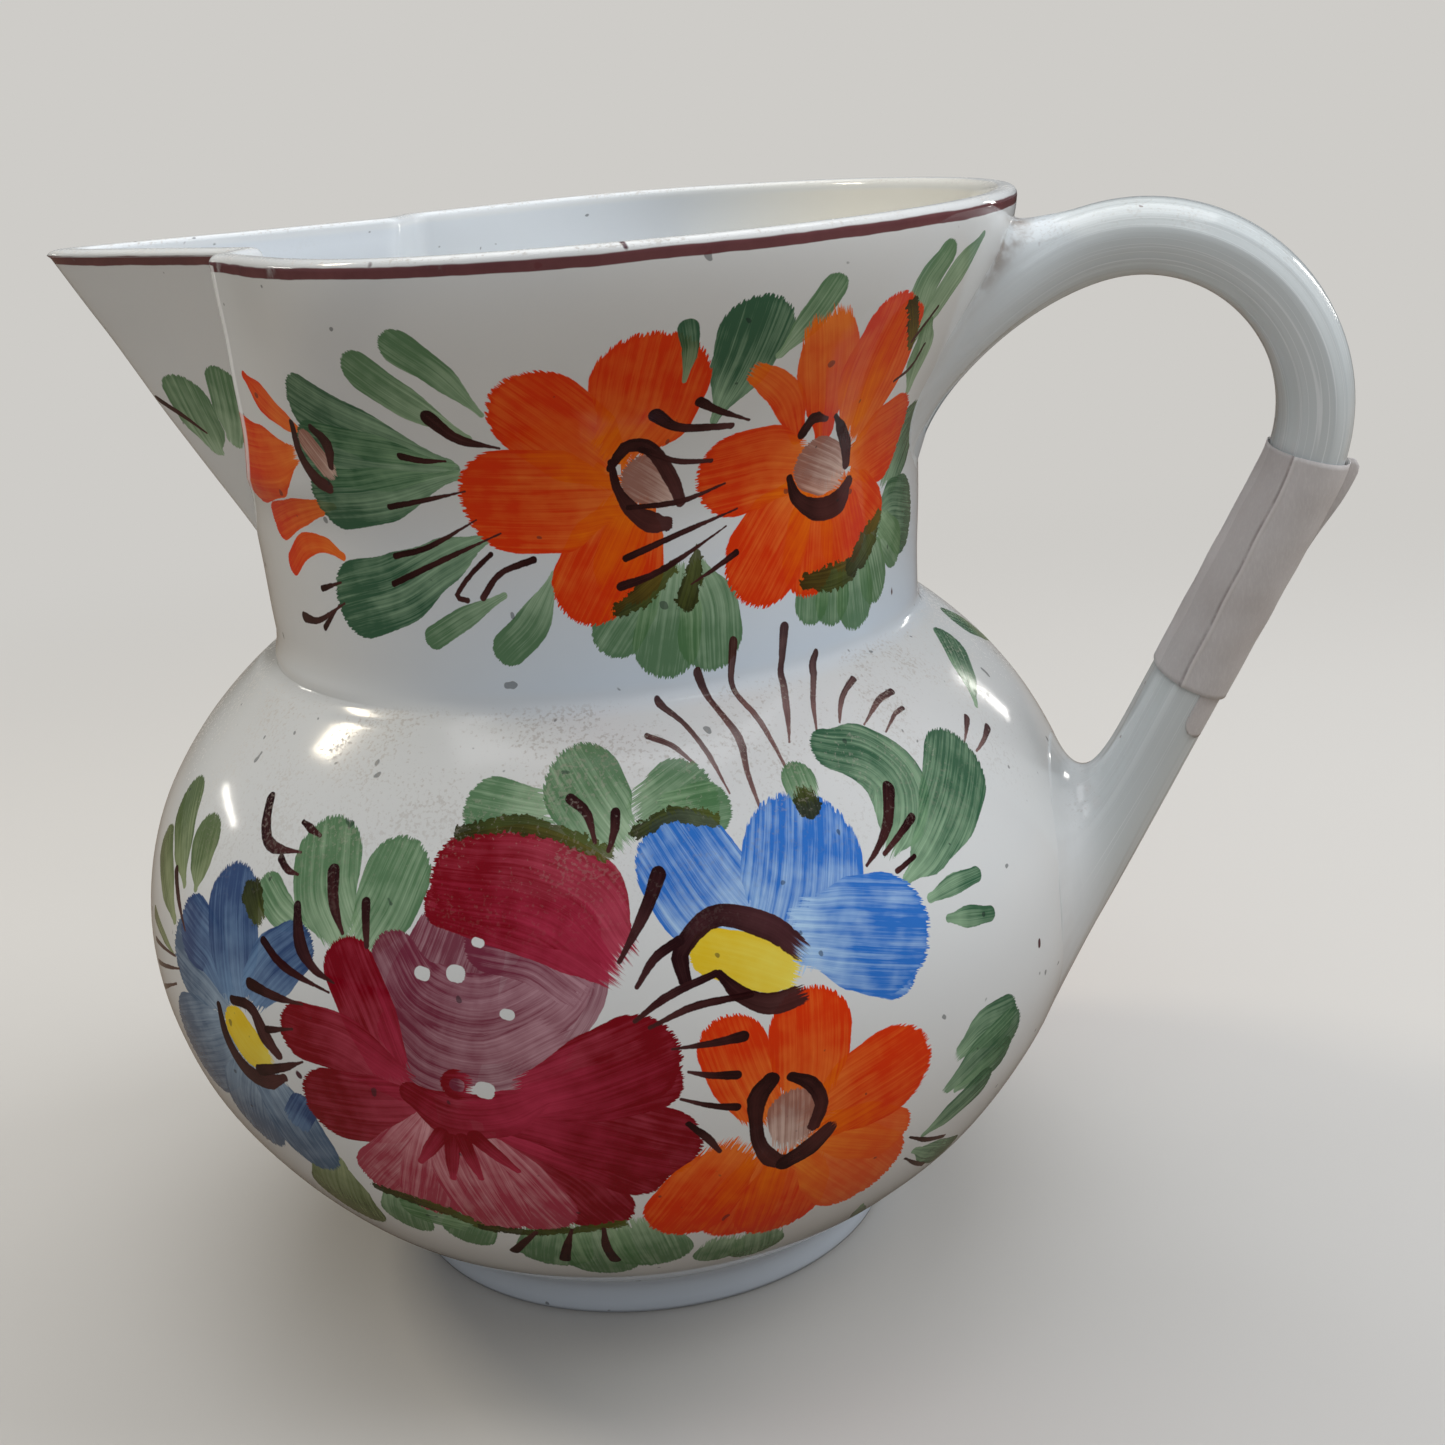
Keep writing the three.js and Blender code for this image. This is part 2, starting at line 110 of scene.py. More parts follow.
def spout_angle(around):
    """Degrees from the spout, where around is degrees from the side that faces -Y."""
    return (around + 90 + 180) % 360 - 180


def body_radius(around, z, inset=0.0):
    """Outer radius in mm at a place round the jug, counted from -Y towards the handle."""
    low = belly_radius(np.minimum(z, NECK_FOOT), inset)
    high = neck_radius(spout_angle(around), np.maximum(z, NECK_FOOT), inset)
    return np.where(z < NECK_FOOT, low, high)


# How far a height lies along the wall, measured up the belly's curve from the foot.
HEIGHTS = np.linspace(FOOT_TOP, NECK_FOOT, 2001)
RUNS = np.cumsum(np.hypot(np.diff(HEIGHTS), np.diff(belly_radius(HEIGHTS))))
RUNS = np.concatenate([[0], RUNS])
SHOULDER_RUN = RUNS[-1]
LIP_RUN = SHOULDER_RUN + RIM_HEIGHT - NECK_FOOT - LIP_ROUND
INSIDE_RUN, FLOOR_RUN = 300, 490
UNDERSIDE, OUTSIDE, LIP, INNER_LIP, INSIDE = range(5)
INNER_FOOT = FOOT_RADIUS - FOOT_RING
FOOT_PROFILE = (
    (3, 7.6), (14, 7.6), (27, 7.5), (36, 7.0), (38.8, 5.8), (39.9, 3.6), (INNER_FOOT, 1.6),
    (INNER_FOOT + 0.4, 0.5), (INNER_FOOT + 1.3, 0.0), (44.8, 0.0), (FOOT_RADIUS - 1.3, 0.0),
    (FOOT_RADIUS - 0.4, 0.4), (FOOT_RADIUS, 1.3), (FOOT_RADIUS, 3.0), (FOOT_RADIUS, 5.0),
    (FOOT_RADIUS + 0.2, 6.2), (FOOT_RADIUS + 0.7, 7.2), (FOOT_RADIUS + 1.5, 8.2))
LIP_TURNS = np.radians((22, 45, 67, 90))
CORNER_START, CORNER_SPAN, FAR_OFF = 12, 80, 9
BODY_SWELLS = (1.1, 24)
# Columns of points stand closer together round the beak.
columns = np.concatenate([np.linspace(-144, -36, 181)[:-1], np.linspace(-36, 216, 211)[:-1]])
outer_runs = np.concatenate([
    np.linspace(0.0, SHOULDER_RUN, 66)[:-1],
    SHOULDER_RUN + np.array([0, 0.4, 0.8, 1.3, 1.9, 2.6, 4.0]),
    np.linspace(SHOULDER_RUN + 6.0, LIP_RUN, 38)])
inner_levels = np.concatenate([
    np.linspace(RIM_HEIGHT - 4, NECK_FOOT + 3, 26), np.linspace(NECK_FOOT, 84, 14),
    np.linspace(80, 24, 14), [20, 17.5, 16, 15.2]])


def height_at(run):
    on_belly = np.interp(run, RUNS, HEIGHTS)
    return np.where(run < SHOULDER_RUN, on_belly, NECK_FOOT + run - SHOULDER_RUN)


def on_jug(around, radius, z):
    turn = np.radians(around)
    return np.stack([AXIS_X + radius * np.sin(turn), -radius * np.cos(turn), z], -1) * MM


def inner_radius(z, level):
    """Radius of the inside, eased from the neck's bore into the belly and into the floor."""
    radius = body_radius(columns, z, WALL)
    if level >= NECK_FOOT + 8:
        return radius
    widest = belly_radius(z, WALL)
    if level < WIDEST_HEIGHT:
        return widest * smooth_rise(level, *(FLOOR_HEIGHT + curve for curve in FLOOR_CURVE))
    eased = -soft_min(-widest, -(NECK_RADIUS - WALL), BORE_BLEND)
    share = smooth_rise(z, NECK_FOOT - 2, NECK_FOOT + 8)
    return eased * (1 - share) + radius * share


def body_rows():
    """Rings from the middle of the underside, out, up, over the lip and down to the floor."""
    rows = []
    flat = np.ones_like(columns)
    top = RIM_HEIGHT * flat
    lip_base = RIM_HEIGHT - LIP_ROUND

    def ring(radius, z, zone, run):
        rows.append((on_jug(columns, flat * radius, flat * z), zone, flat * run))

    for radius, z in FOOT_PROFILE:
        ring(radius, z, UNDERSIDE, z - FOOT_TOP)
    for run in outer_runs:
        z = height_at(run) * flat
        ring(body_radius(columns, z), z, OUTSIDE, run)
    for turn in LIP_TURNS:
        rolled = body_radius(columns, top, LIP_ROUND * (1 - math.cos(turn)))
        ring(rolled, lip_base + LIP_ROUND * math.sin(turn), LIP, LIP_RUN + LIP_ROUND * turn)
    run = LIP_RUN + LIP_ROUND * math.pi / 2
    for inset in (2.2, 2.8):
        ring(body_radius(columns, top, inset), top, LIP, run + inset - LIP_ROUND)
    for turn in LIP_TURNS:
        rolled = body_radius(columns, top, WALL - LIP_ROUND + LIP_ROUND * math.sin(turn))
        ring(rolled, lip_base + LIP_ROUND * math.cos(turn), INNER_LIP, run + 3)
    for level in inner_levels:
        ring(inner_radius(flat * level, level), level, INSIDE, INSIDE_RUN + RIM_HEIGHT - level)
    for radius in (22, 12, 3):
        ring(radius, FLOOR_HEIGHT + 0.3, INSIDE, FLOOR_RUN)
    return rows


def tube_faces(ring_count, count):
    """Quads between each ring of points and the next one."""
    i = np.arange(count)
    n = (i + 1) % count
    steps = np.arange(ring_count - 1)[:, None, None] * count
    return (np.stack([i, n, count + n, count + i], -1) + steps).reshape(-1, 4)


def give_attribute(mesh, name, values, domain="POINT"):
    """Stores a number, or a vector, for each point or face corner."""
    values = np.asarray(values, np.float32)
    kind, field = ("FLOAT", "value") if values.ndim == 1 else ("FLOAT_VECTOR", "vector")
    mesh.attributes.new(name, kind, domain).data.foreach_set(field, values.ravel())


def make_piece(name, points, faces):
    mesh = bpy.data.meshes.new(name)
    mesh.from_pydata(points.tolist(), [], faces)
    mesh.update()
    mesh.polygons.foreach_set("use_smooth", np.ones(len(mesh.polygons), bool))
    piece = bpy.data.objects.new(name, mesh)
    bpy.context.collection.objects.link(piece)
    return piece


def clay_grain(turn, run, swell_count, swell_length):
    """Where the hands' swellings lie: some round a piece, each a few cm long."""
    across, aside = swell_count * np.cos(turn), swell_count * np.sin(turn)
    return np.stack([across, aside, run / swell_length], -1)


def build_body():
    rows = body_rows()
    count, last = len(columns), (len(rows) - 1) * len(columns)
    points = np.concatenate([row[0] for row in rows])
    middles = [points[:count].mean(0), points[last:].mean(0)]
    points = np.concatenate([points, middles])
    zones = np.concatenate([np.repeat([float(row[1]) for row in rows], count), [UNDERSIDE, INSIDE]])
    runs = np.concatenate([row[2] for row in rows] + [[-FOOT_TOP, FLOOR_RUN]])
    around = np.concatenate([np.tile(columns, len(rows)), [0, 0]])
    quads = tube_faces(len(rows), count)
    # a fan of triangles closes the underside and the floor
    caps = []
    for end, middle in ((list(range(count))[::-1], last + count),
                        ([last + i for i in range(count)], last + count + 1)):
        caps += [(end[i], end[(i + 1) % count], middle) for i in range(count)]
    body = make_piece("glazed_body", points, quads.tolist() + caps)

    from_spout = spout_angle(around)
    neck, seat, _ = neck_forms(from_spout, np.maximum(points[:, 2] / MM, NECK_FOOT))
    on_corner = (zones == OUTSIDE) & (runs > SHOULDER_RUN + CORNER_START)
    on_corner &= np.abs(from_spout) < CORNER_SPAN
    past_corner = np.where(on_corner, np.clip(neck - seat, -FAR_OFF, FAR_OFF), -FAR_OFF)
    give_attribute(body.data, "place", np.stack([runs, zones, past_corner], -1))
    give_attribute(body.data, "grain", clay_grain(np.radians(around), runs, *BODY_SWELLS))
    # the swellings die out towards the foot, the lip and the floor
    outside = smooth_rise(runs, 6, 22) * (1 - smooth_rise(runs, LIP_RUN - 16, LIP_RUN - 3))
    inside = smooth_rise(runs, INSIDE_RUN + 6, INSIDE_RUN + 26)
    inside = inside * (1 - smooth_rise(runs, FLOOR_RUN - 50, FLOOR_RUN - 20))
    give_attribute(body.data, "worked", outside * (zones == OUTSIDE) + inside * (zones == INSIDE))
    return body, quads, around, runs, zones


glazed_body, body_quads, body_around, body_runs, body_zones = build_body()

# The painting: freehand folk flowers laid on the raw white glaze with loaded brushes before the
# firing, so every stroke starts full and round, thins along its hairs and ends feathered and dry.
# A stroke is an ink and its places: degrees round the jug, mm up the wall, and width in mm.

# Each ink's colour where it lies thick and where thin, how much it covers, and how streaky it is.
INKS = {
    "orange": ((228, 54, 0), (250, 124, 0), 1.0, 0.62),
    "crimson": ((130, 0, 22), (188, 50, 80), 1.0, 0.62),
    "mauve": ((122, 44, 66), (192, 146, 156), 0.97, 0.9),
    "blue": ((44, 118, 210), (190, 224, 253), 0.99, 0.8),
    "slate": ((68, 99, 131), (156, 180, 202), 0.97, 0.7),
    "green": ((38, 92, 60), (142, 180, 140), 0.97, 0.85),
    "sage": ((80, 124, 80), (158, 190, 150), 0.95, 0.85),
    "olive": ((44, 48, 10), (88, 96, 34), 0.97, 0.7),
    "brown": ((40, 8, 12), (84, 42, 42), 1.0, 0.35),
    "yellow": ((238, 202, 34), (246, 228, 92), 0.99, 0.3),
    "rose": ((162, 112, 98), (230, 198, 183), 0.97, 0.85),
    "bare": ((226, 228, 226), (226, 228, 226), 1.0, 0.1),
    "poppy": ((234, 84, 18), (250, 140, 44), 0.99, 0.6),
    "navy": ((50, 76, 122), (120, 156, 194), 0.99, 0.65),
    "moss": ((78, 102, 46), (146, 162, 108), 0.95, 0.85),
    "umber": ((62, 26, 28), (132, 88, 82), 0.97, 0.7),
    "wine": ((168, 54, 76), (224, 164, 170), 0.98, 0.95),
}
INK_NUMBERS = {ink: number for number, ink in enumerate(INKS)}
INK_STOPS = 20
LINER_WIDTH, LINER_WEIGHT = 2.6, 1.16
NECK_SCALE, BELLY_SCALE = 1.2, 1.6
NECK_PAINT_RUN = SHOULDER_RUN + 9
STROKE_STEPS, PAINT_MARGIN, MOST_ASIDE = 14, 3, 5
HAND_SHAKE, FAR_SIDE_WEIGHT = 0.5, 1.02
LAYERS, NO_STROKE = 5, -9
strokes = []


def paint(ink, *laid):
    """Adds strokes of one ink. The thin dark lines are drawn a little heavier."""
    for places in laid:
        thin = ink == "brown" and max(width for _, _, width in places) < LINER_WIDTH
        weight = LINER_WEIGHT if thin else 1.0
        strokes.append((ink, tuple((a, run, width * weight) for a, run, width in places)))


# The garland on the neck.

# leaves and a dark stroke on the beak's wall
paint("sage",
    ((-82.6, 187.5, 8.5), (-83.6, 181.5, 8), (-84.4, 176.5, 3)),
    ((-74, 190, 8), (-76.6, 184, 7.5), (-79.8, 178.5, 3)))
paint("brown", ((-88.4, 186.2, 1.2), (-86.2, 183.6, 1.1), (-84, 180, 0.5)))
# corner flower by the spout
paint("orange",
    ((-40.6, 195.8, 1.6), (-36.2, 192.3, 5.6), (-31, 189.2, 3.8), (-26.6, 187.2, 1.2)),
    ((-47, 181, 16.5), (-39, 181.2, 13), (-30.6, 183.2, 4)),
    ((-42.8, 170, 7), (-36.4, 172.2, 5.4), (-29.4, 173.9, 3.2), (-25.3, 174.6, 1.2)),
    ((-41.2, 162.6, 4.4), (-36.3, 166.4, 4.6), (-30.5, 167.3, 3), (-26.3, 165.6, 1.6)))
paint("green",
    ((-23.6, 192.4, 10.4), (-14.4, 188, 9.8), (-2.4, 182.6, 2.2)),
    ((-24.4, 184, 11.4), (-13.9, 183, 10.6), (-2, 181.8, 2.6)),
    ((-24.6, 175.9, 11), (-15.6, 177, 9.8), (-2, 180.6, 2)),
    ((-23.9, 158.4, 13.8), (-15.6, 160.9, 12.4), (-7.4, 165.6, 8), (0.6, 169.8, 2)))
paint("sage",
    ((-9.9, 198.5, 7), (-5.6, 194, 6.2), (1.4, 187, 1.4)),
    ((-3.3, 202.2, 6.2), (0.3, 197.9, 4.8), (4, 191, 1)),
    ((-10.4, 152.7, 4.2), (-5.2, 156, 4), (1.9, 160, 1.2)),
    ((1.7, 151, 6.4), (5.6, 155, 6.4), (9.8, 163, 1.6)))
# greens below and above the first flower
paint("green", ((35.7, 200.4, 11.4), (34.8, 194.5, 10), (32.7, 186.2, 1.6)))
paint("sage",
    ((44.6, 205.4, 4.8), (42.5, 200.9, 5.2), (39.6, 195.8, 1.4)),
    ((18.2, 152.6, 9.6), (21.2, 157, 8.6), (24, 161, 5)),
    ((25.4, 149.6, 12.6), (26.6, 155.4, 11.6), (27.6, 161, 6)),
    ((32.4, 149.8, 12.8), (32.4, 155, 11.4), (30.8, 162, 4)))
# first orange flower
paint("orange",
    ((10.8, 190, 15.4), (15, 184.6, 14.4), (19.2, 179.6, 8)),
    ((24, 193.6, 17.4), (23.2, 189, 16.4), (20.8, 184.4, 10)),
    ((20.6, 163, 12.6), (21.6, 168, 11), (22, 172, 8)),
    ((14.9, 160.8, 14), (18, 166.6, 14), (20.8, 172, 9)),
    ((4.8, 175.8, 18), (12.2, 175.2, 17.6), (18.6, 175, 9)))
paint("olive",
    ((18.6, 156.2, 2.4), (22.4, 158.2, 4), (27, 162.4, 2.6)),
    ((28.9, 156.6, 4.4), (30.3, 160.6, 3.6), (31.1, 165.2, 0.8)))
paint("green", ((27.7, 202, 3), (28.2, 198.4, 2.4), (27.9, 193.5, 0.7)))
# greens around the second flower
paint("sage",
    ((63.2, 207.6, 5), (60.6, 203, 7), (62.2, 195.6, 2.4)),
    ((72.2, 209.4, 1.4), (67.6, 204.4, 6.4), (65, 199, 6.4), (63.7, 193.8, 2)),
    ((65.4, 195.8, 3), (67.8, 190.6, 6.6), (70.2, 184, 1.8)))
paint("green",
    ((76.4, 174.8, 13.4), (72.2, 170, 9.6)),
    ((77.3, 160.8, 14.6), (72.8, 162, 12.6), (69, 161.6, 7)))
paint("sage",
    ((73.6, 156.4, 9), (69.8, 160, 7)),
    ((66.8, 152, 9.8), (65.6, 156, 9), (64.3, 158.6, 5)),
    ((61.4, 149.8, 12), (60.9, 154.4, 10.6), (60.4, 157.6, 6)),
    ((55.6, 150.9, 9.6), (55.8, 155, 8.6), (55.6, 158, 5)),
    ((51, 151.6, 8.6), (51.4, 155.2, 7.6), (52, 157.8, 4)))
# second orange flower
paint("orange",
    ((46.6, 181, 3), (43.6, 187, 5.6), (40.4, 190.6, 5), (37, 193.4, 4)),
    ((51.6, 180.6, 4), (49.8, 187, 8.4), (47.5, 193.4, 11), (45.3, 199.4, 8.6)),
    ((59.6, 196.6, 8.4), (60.7, 188, 10.4), (59.8, 179, 6.4)),
    ((56, 198, 10.4), (55.9, 190.6, 12.4), (57.2, 182, 7.4)),
    ((68.3, 176.4, 15.6), (64.6, 175.6, 14.4), (60.4, 174, 8)),
    ((65.6, 164.7, 9.6), (62.4, 167.7, 9.4), (60, 170, 6)),
    ((58.6, 161.4, 12.8), (57.7, 166, 11.4), (56.8, 170.4, 7)),
    ((50.6, 158.8, 12.8), (51.3, 165, 11.4), (52.2, 170.2, 7)),
    ((42, 160.8, 16.6), (45.3, 165.6, 15.4), (49.2, 170.4, 9)),
    ((37, 176.2, 14.6), (41.8, 176.6, 14.4), (46.8, 175.6, 10)))
paint("olive",
    ((50, 155.4, 3), (55.2, 154.7, 4.8), (60.6, 155, 4)),
    ((60.4, 155.4, 4), (64, 158.2, 5.6), (68.2, 162.6, 3)),
    ((59, 200.4, 2.4), (61.6, 196.6, 2.8), (63.9, 192.6, 1.4)))
# centres and their dark outlines
paint("rose", ((-26.4, 185.7, 4.6), (-23.4, 181, 4.4)))
paint("brown",
    ((-28.8, 188.6, 1.4), (-29.2, 183.7, 1.8), (-27.2, 179.5, 2.4), (-24.7, 178, 2.4)),
    ((-24.1, 188.2, 1.4), (-21.9, 185.7, 2.4), (-22.8, 181.7, 1.2)))
paint("rose", ((23.8, 177.6, 8.6), (26.8, 175, 6)))
paint("brown",
    ((19, 180, 1.4), (21.2, 183.4, 2.2), (24.4, 182.6, 2.4), (27.6, 176.8, 2.6),
     (28.9, 173, 2.2)),
    ((19.1, 181, 1.2), (19.8, 176.4, 1.6), (21.8, 172.4, 2.8), (24.4, 170.2, 3.8),
     (26.8, 169.6, 2.8)),
    ((21.2, 173, 0.8), (28.7, 173, 0.9), (35.6, 175, 0.4)))
paint("rose", ((51.2, 175.4, 9.6), (54.4, 173.8, 9.4), (56.8, 172.6, 6)))
paint("brown",
    ((46.7, 173.8, 1.4), (48.6, 169.8, 2.6), (52.8, 167.2, 4), (57.4, 167.6, 4.4),
     (59.8, 170.6, 2.6)),
    ((52.8, 183.3, 0.8), (55.3, 180.3, 2.2), (57.6, 177, 2.6), (58.7, 173.8, 2.2)),
    ((47.4, 181.3, 1.8), (48.5, 183.6, 2), (51.2, 183, 0.8)))
# freehand strokes
paint("brown",
    ((-2.7, 190.7, 2.4), (0, 187, 1.7), (5, 185, 0.4)),
    ((-9.2, 184, 1.2), (-6.1, 183.2, 1), (-2.8, 183.1, 0.4)),
    ((-14.2, 175, 1), (-7.8, 176.3, 0.8), (-1.4, 177.7, 0.3)),
    ((-15.3, 166.5, 1), (-8.9, 168.3, 0.9), (-0.8, 172.7, 0.3)),
    ((-16.4, 161.7, 1), (-7.8, 165.7, 0.9), (2.5, 170.3, 0.3)),
    ((0.6, 166.9, 0.8), (-2.8, 163.7, 0.8), (-5.6, 160, 0.8), (-3.9, 159.3, 0.9)),
    ((6.9, 165.7, 1.1), (1.7, 163.7, 0.9), (-1.4, 159.7, 1.1)),
    ((-33.1, 159.3, 1.1), (-27.8, 161, 0.4)),
    ((-40.8, 153, 1.8), (-35.6, 153.3, 1), (-27.8, 157.3, 0.4)),
    ((-34.4, 152.1, 1.1), (-29.4, 156.7, 0.4)),
    ((24.8, 188.3, 2), (28.1, 185.7, 1.3), (35.3, 184.8, 1)),
    ((30.3, 189.7, 1.5), (33.1, 187.7, 1), (37.8, 185.3, 0.4)),
    ((23.1, 182.7, 1), (28.1, 180, 0.9), (33.1, 179.3, 0.7)),
    ((20.3, 164.7, 1.1), (28.7, 167.7, 0.9), (37.8, 170.3, 0.3)),
    ((19.2, 160.1, 1.4), (25.3, 162, 1), (35.9, 167.7, 0.3)),
    ((37.3, 163, 1.1), (33.7, 161, 0.8), (29.8, 159, 0.3)),
    ((65.9, 198.7, 0.7), (63.4, 193.7, 0.8)),
    ((67.6, 192.3, 0.7), (67, 188.7, 0.8), (63.7, 187, 0.5)))

# The fine sprays on the shoulder.
paint("umber",
    ((20.6, 134, 1.3), (23.7, 131.5, 1.2), (26, 127.5, 0.7)),
    ((23.2, 140.2, 1.7), (26.1, 135.4, 1.2), (28, 129.2, 1.2), (29.3, 121.4, 0.4)),
    ((29.9, 143.7, 2.2), (31.4, 137.7, 1.5), (32.9, 130.8, 1.9), (32.3, 124.6, 1.2),
     (32.4, 117.3, 0.6)),
    ((36, 147.8, 2.4), (35.3, 140, 1.5), (36.7, 133.8, 1.5), (37.4, 123.8, 0.7)),
    ((45.2, 148.5, 2.1), (44.2, 141.5, 1.4), (42, 135.4, 1.4), (39.4, 128, 0.4)),
    ((51.4, 142.3, 1.9), (47.8, 137, 1.3), (45.8, 133.5, 1.2), (44, 128.8, 0.5)),
    ((55.4, 136, 1.4), (52.1, 134.2, 1.1), (49.9, 132, 1.1), (48, 129, 0.5)),
    ((60, 131, 1.4), (56.4, 130.4, 1.3), (51.4, 127.2, 0.4)),
    ((59.5, 127.4, 1), (57.4, 127, 0.9), (53.9, 124.6, 0.4)),
    ((70, 120.4, 1.6), (66, 117, 0.4)),
    ((73, 116.8, 1.7), (70, 115.4, 1), (67.2, 114.6, 0.5)))
paint("green", ((84, 132.5, 8), (79.5, 128, 7), (74, 121, 1)))

# The bouquet on the belly.

# leaves behind the flowers
paint("moss",
    ((-53, 111.6, 12), (-49.4, 106, 8.6), (-45.2, 99.8, 1.6)),
    ((-43.4, 108.6, 10.8), (-42.5, 104, 7.6), (-42, 100.4, 1.4)),
    ((-56, 102.4, 8), (-51.2, 97.6, 7.6), (-46.8, 92.7, 2.4)),
    ((-56, 89, 3), (-51, 87.4, 2.4), (-47, 86, 0.8)))
paint("sage",
    ((-20.1, 112.2, 15.6), (-19.1, 107, 14.6), (-16.6, 101.6, 9)),
    ((-10.3, 111, 13.6), (-11.3, 106, 12.8), (-13, 100.8, 8)),
    ((0.2, 122.6, 11.6), (5.6, 121.2, 9.8)),
    ((23.4, 122, 14.6), (20.4, 119.8, 13)),
    ((26.2, 119.6, 9.6), (22, 119.4, 8)),
    ((11.7, 125.9, 16.6), (13.6, 121, 14.6), (15, 117.6, 9)),
    ((-16.3, 41.8, 11.4), (-15.1, 46.6, 9.4), (-14, 50, 6)),
    ((-8.3, 39.4, 11), (-6.6, 44, 10), (-6, 48, 7)),
    ((-13.3, 45.6, 8.6), (-9, 44.4, 8.6)),
    ((2, 33.4, 16), (3.6, 41.4, 13.4)),
    ((8, 27.8, 16), (8, 40.4, 14)),
    ((14.6, 32.2, 17.6), (13.8, 40.6, 14)),
    ((23.8, 26.4, 12), (24, 30.6, 10)),
    ((29.6, 24.4, 13.4), (29, 30, 11.4)))
paint("moss", ((-26, 41.8, 17), (-24, 49, 13.4), (-21.7, 56, 3)))
paint("green",
    ((-48.8, 20, 12), (-54, 19, 10)),
    ((44.2, 125, 8), (48.8, 121.8, 13), (51, 116.2, 15.6), (49.4, 110.4, 11.6), (46.2, 105.6, 4)),
    ((61.8, 114.1, 15.6), (57.4, 109, 14), (51.8, 103.4, 8.4), (47.4, 100.2, 2)),
    ((57.4, 96.2, 2.8), (53.5, 96.4, 3.8), (49.8, 95.8, 1.8)),
    ((58, 88.8, 2.8), (54.6, 90.2, 4), (51.6, 91.4, 1.6)),
    ((59.6, 67.4, 10), (56, 68, 9), (52.6, 65.6, 4)),
    ((61, 63.4, 11), (56.4, 61.4, 11), (51.8, 58.4, 3.4)),
    ((61, 58.8, 8), (57.4, 57.6, 6), (53.6, 56.8, 2)),
    ((58.6, 53.6, 8), (54.2, 50.6, 7), (50.4, 47.8, 2)),
    ((60.4, 33.4, 8), (55.2, 38, 7), (50, 43.4, 1.8)),
    ((52, 14, 5), (48, 22, 4), (46.3, 27.5, 1)))
# slate-blue flower towards the spout
paint("sage", ((-27.6, 105, 7), (-25, 102.4, 6.4), (-21.4, 100.4, 2.4)))
paint("slate",
    ((-42.4, 70.8, 20), (-38, 73.6, 18), (-34.4, 76.4, 11)),
    ((-35, 59.6, 15.6), (-33.5, 65, 14.6), (-31.4, 70.6, 10)),
    ((-26.1, 58.6, 15.6), (-26.7, 64.4, 15), (-28.2, 70.4, 10)))
paint("navy", ((-23.6, 67.6, 6), (-25.6, 64, 6)))
paint("slate", ((-41.6, 88.6, 16), (-37.6, 87.4, 14), (-34, 84.6, 9)))
paint("navy",
    ((-40.6, 93.6, 13), (-36.6, 91.6, 11), (-33.6, 86.6, 6)),
    ((-33.6, 100.9, 15.2), (-32.5, 94.4, 15), (-31.6, 87, 10)),
    ((-22.6, 96.8, 9.6), (-25.4, 93.2, 11.6), (-28.6, 87.6, 8)))
paint("olive", ((-30.4, 103.6, 5.6), (-28.6, 100.4, 4)))
# big rose in the middle
paint("mauve",
    ((9, 102, 12), (8, 94, 16), (4, 85, 14)),
    ((-2.6, 99.6, 17), (-4.4, 91.6, 20), (-5, 84, 16), (-5, 76, 12)),
    ((-9.6, 98, 9), (-6.6, 91.6, 14), (0, 88.6, 15), (6.6, 92.6, 13), (9.6, 98, 9)),
    ((-9.2, 86, 8), (-5.6, 81.4, 13), (0.6, 80, 13), (7, 84.4, 10)))
paint("crimson",
    ((-15, 95.4, 10.6), (-12.7, 88.5, 10.8), (-10.5, 79, 8)),
    ((-21.4, 83, 10.6), (-16, 82, 11), (-9.4, 76.4, 7)),
    ((-18.5, 70, 14.6), (-13, 70.6, 13.8), (-6.4, 72.4, 7)))
paint("wine",
    ((-14.5, 55.4, 14), (-11.2, 60.6, 13), (-6.4, 70, 7)),
    ((-10.3, 51.4, 12.4), (-8.4, 58, 12.4), (-5.8, 68.4, 8)))
paint("crimson", ((9.2, 49.8, 13.6), (6.5, 57, 15.8), (-0.4, 67.2, 8.6), (-4, 72, 4)))
paint("wine",
    ((2.4, 49.6, 14.6), (0.3, 57.4, 14), (-3.6, 69.7, 6.6)),
    ((-3.2, 49.2, 14.8), (-4.1, 57.4, 14.4), (-4.8, 69.4, 8)))
paint("crimson",
    ((14, 58.6, 12), (9.6, 63.6, 12.6), (1, 70, 7)),
    ((16.3, 64.2, 15.8), (11.4, 67.6, 15.8), (3.6, 71.8, 9.6), (-3, 73.5, 5)),
    ((16.6, 76.6, 10), (11, 75.4, 10.4), (4, 74.4, 7)),
    ((14.9, 80.8, 15.6), (11, 78.8, 14.6), (4.4, 75.8, 8.4)))
paint("mauve", ((1, 100.6, 9), (6, 99, 10), (9.6, 94.6, 9)))
paint("crimson",
    ((-4.2, 107, 8), (2.6, 104.6, 9.6), (9, 100.6, 9.4), (13.6, 94.6, 5)),
    ((-1.6, 111.6, 15), (4.8, 110.6, 18.4), (10.6, 106.4, 17.6), (14.2, 98.6, 8)),
    ((-8.6, 75, 4.4), (-4.6, 71.6, 9.4), (0.8, 71.8, 8.4), (5.4, 75, 4)))
for tip in ((-9.6, 60.4), (-6.4, 57), (-3, 57.6), (1.4, 60)):
    start = (-4.2 + 0.34 * (tip[0] + 4.2), 71 - 0.34 * (71 - tip[1]))
    middle = ((tip[0] + start[0]) / 2, (tip[1] + start[1]) / 2, 2.6)
    paint("crimson", ((*start, 3), middle, (*tip, 1.2)))
